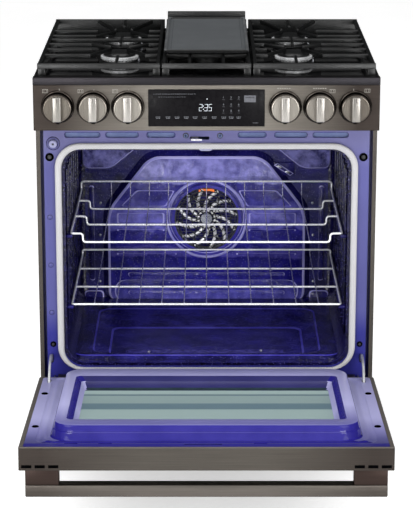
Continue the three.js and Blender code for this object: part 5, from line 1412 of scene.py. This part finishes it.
def makeCentreGrate():
    g = grates
    bm = bmesh.new()
    half, top, low = g["centreHalf"], g["top"] - 0.5, g["top"] - g["barDeep"]
    grateFrame(bm, -half, half)
    for y in g["centreBars"]:
        castBar(bm, -half + 1, y, half - 1, y, g["bar"], low, top)
    for side, _ in sides:
        x = side * half * g["centreSpineX"]
        for y0, y1 in g["centreSpines"]:
            castBar(bm, x, y0, x, y1, g["bar"], low + 0.5, top - 0.4)
    finishPiece(bm, "centre_grate_cast", ["centre_grate"], ["castIron"])


# Griddle: a cast plate with a raised rim and a splash wall along its rear. A step is (inset, z, corner
# radius, skin), from the underside over the rim to the plate.

griddle = {
    "half": 94, "front": 45, "back": 520, "wall": 972, "wallFoot": 953, "wallThick": 6,
    "ribs": (83, 480), "ribHalf": 82,
    "steps": ((3, 951, 7, 1), (0.6, 952.4, 9, 1), (0, 956, 10, 1), (1.6, 958, 9, 1), (4.6, 958, 7, 1),
              (6.4, 956.6, 6, 0), (7.6, 953.2, 5, 0), (14, 953, 4, 0), (16, 955, 3, 0)),
}


def makeGriddle():
    g = griddle
    bm = bmesh.new()
    half, front, back = g["half"], g["front"], g["back"]
    addLoft(bm, [lying(inset - half, half - inset, front + inset, back - inset, z, radius)
                 for inset, z, radius, _ in g["steps"]], steps=6, finishes=[skin for *_, skin in g["steps"]])
    addBox(bm, -half, half, back - g["wallThick"], back, g["wallFoot"], g["wall"], skin=1, round=2)
    for y in g["ribs"]:
        addBox(bm, -g["ribHalf"], g["ribHalf"], y - 3.5, y + 3.5, 943.3, 952, round=1)
    # Faces turned towards the front take the darker iron: painted shade on the griddle's front side.
    bm.normal_update()
    for f in bm.faces:
        if f.normal.y < -0.6:
            f.material_index = 2
    finishPiece(bm, "griddle_cast", ["griddle"], ["griddleIron", "griddleRim", "castIron"])


for side, sideName in sides:
    makeSideGrate(side, sideName + "_grate")
makeCentreGrate()
makeGriddle()
print("grates and griddle made")


# Camera, floor and soft studio light. A lamp is (x, y, z, size, power); the shines are what a glossy
# surface sees of the room to the front, to the rear and in the high front.

studio = {
    "cameraY": -4691, "cameraZ": 1768, "downTilt": 0.2636, "lens": 153.2, "aimZ": 550, "floorSize": 9,
    "fill": 0.52, "shine": 0.28, "rearShine": 0.02, "highShine": 0.9,
    "floorColour": "#fbfbfb", "floorLift": 0.46,
    "lamps": ((-1900, -1700, 2900, 1900, 40), (1900, -1900, 2600, 1900, 30), (-1350, -2600, 800, 900, 36),
              (1350, -2600, 800, 900, 36), (0, 300, 3000, 1500, 18)),
}


def stand(name, data):
    thing = bpy.data.objects.new(name, data)
    bpy.context.scene.collection.objects.link(thing)
    return thing


def makeCameraAndLamps():
    s = studio
    camera = stand("camera", bpy.data.cameras.new("camera"))
    camera.location = (0, (s["cameraY"] + frameFace) / 1000, s["cameraZ"] / 1000)
    camera.rotation_euler = (math.pi / 2 - s["downTilt"], 0, 0)
    camera.data.lens = s["lens"]
    camera.data.sensor_width = 36
    bpy.context.scene.camera = camera
    target = Vector((0, 0, s["aimZ"] / 1000))
    for x, y, z, size, power in s["lamps"]:
        lamp = stand("lamp", bpy.data.lights.new("lamp", "AREA"))
        lamp.data.size = size / 1000
        lamp.data.energy = power
        lamp.location = (x / 1000, y / 1000, z / 1000)
        lamp.rotation_euler = (target - lamp.location).to_track_quat("-Z", "Y").to_euler()


def makeFloor():
    bm = bmesh.new()
    bmesh.ops.create_grid(bm, x_segments=1, y_segments=1, size=studio["floorSize"])
    mesh = bpy.data.meshes.new("floor")
    bm.to_mesh(mesh)
    bm.free()
    material, tree, place = startMaterial("pale_painted_floor")
    seen = addNode(tree, "ShaderNodeLightPath").outputs["Is Camera Ray"]
    closeMaterial(material, mottle(tree, place, 400, (studio["floorColour"], "#ffffff")), 0.9,
                  Specular_IOR_Level=0.1, Emission_Color=fromHex("#ffffff"),
                  Emission_Strength=maths(tree, "MULTIPLY", seen, studio["floorLift"]))
    mesh.materials.append(material)
    stand("floor", mesh)


def makeWorld():
    s = studio
    world = bpy.data.worlds.new("studio")
    bpy.context.scene.world = world
    world.use_nodes = True
    tree = world.node_tree
    tree.nodes.clear()
    seen = addNode(tree, "ShaderNodeLightPath").outputs
    white = maths(tree, "MAXIMUM", seen["Is Camera Ray"], seen["Is Transmission Ray"])
    way = addNode(tree, "ShaderNodeTexCoord").outputs["Generated"]
    ahead = oneAxis(tree, way, "Y")
    mirrored = remap(tree, ahead, 0.0, 0.5, s["shine"], s["rearShine"])
    high = remap(tree, oneAxis(tree, way, "Z"), 0.05, 0.25)
    near = remap(tree, ahead, -0.25, -0.6, 0.0, s["highShine"])
    band = maths(tree, "MULTIPLY_ADD", high, near, mirrored)
    dim = remap(tree, seen["Is Glossy Ray"], 0.0, 1.0, s["fill"], band)
    level = remap(tree, white, 0.0, 1.0, dim, 1.0)
    shine = addNode(tree, "ShaderNodeBackground", {"Color": fromHex("#ffffff"), "Strength": level})
    addNode(tree, "ShaderNodeOutputWorld", {"Surface": shine.outputs[0]})
    bpy.context.scene.view_settings.view_transform = "Standard"


makeCameraAndLamps()
makeFloor()
makeWorld()
print("camera, floor and light set")
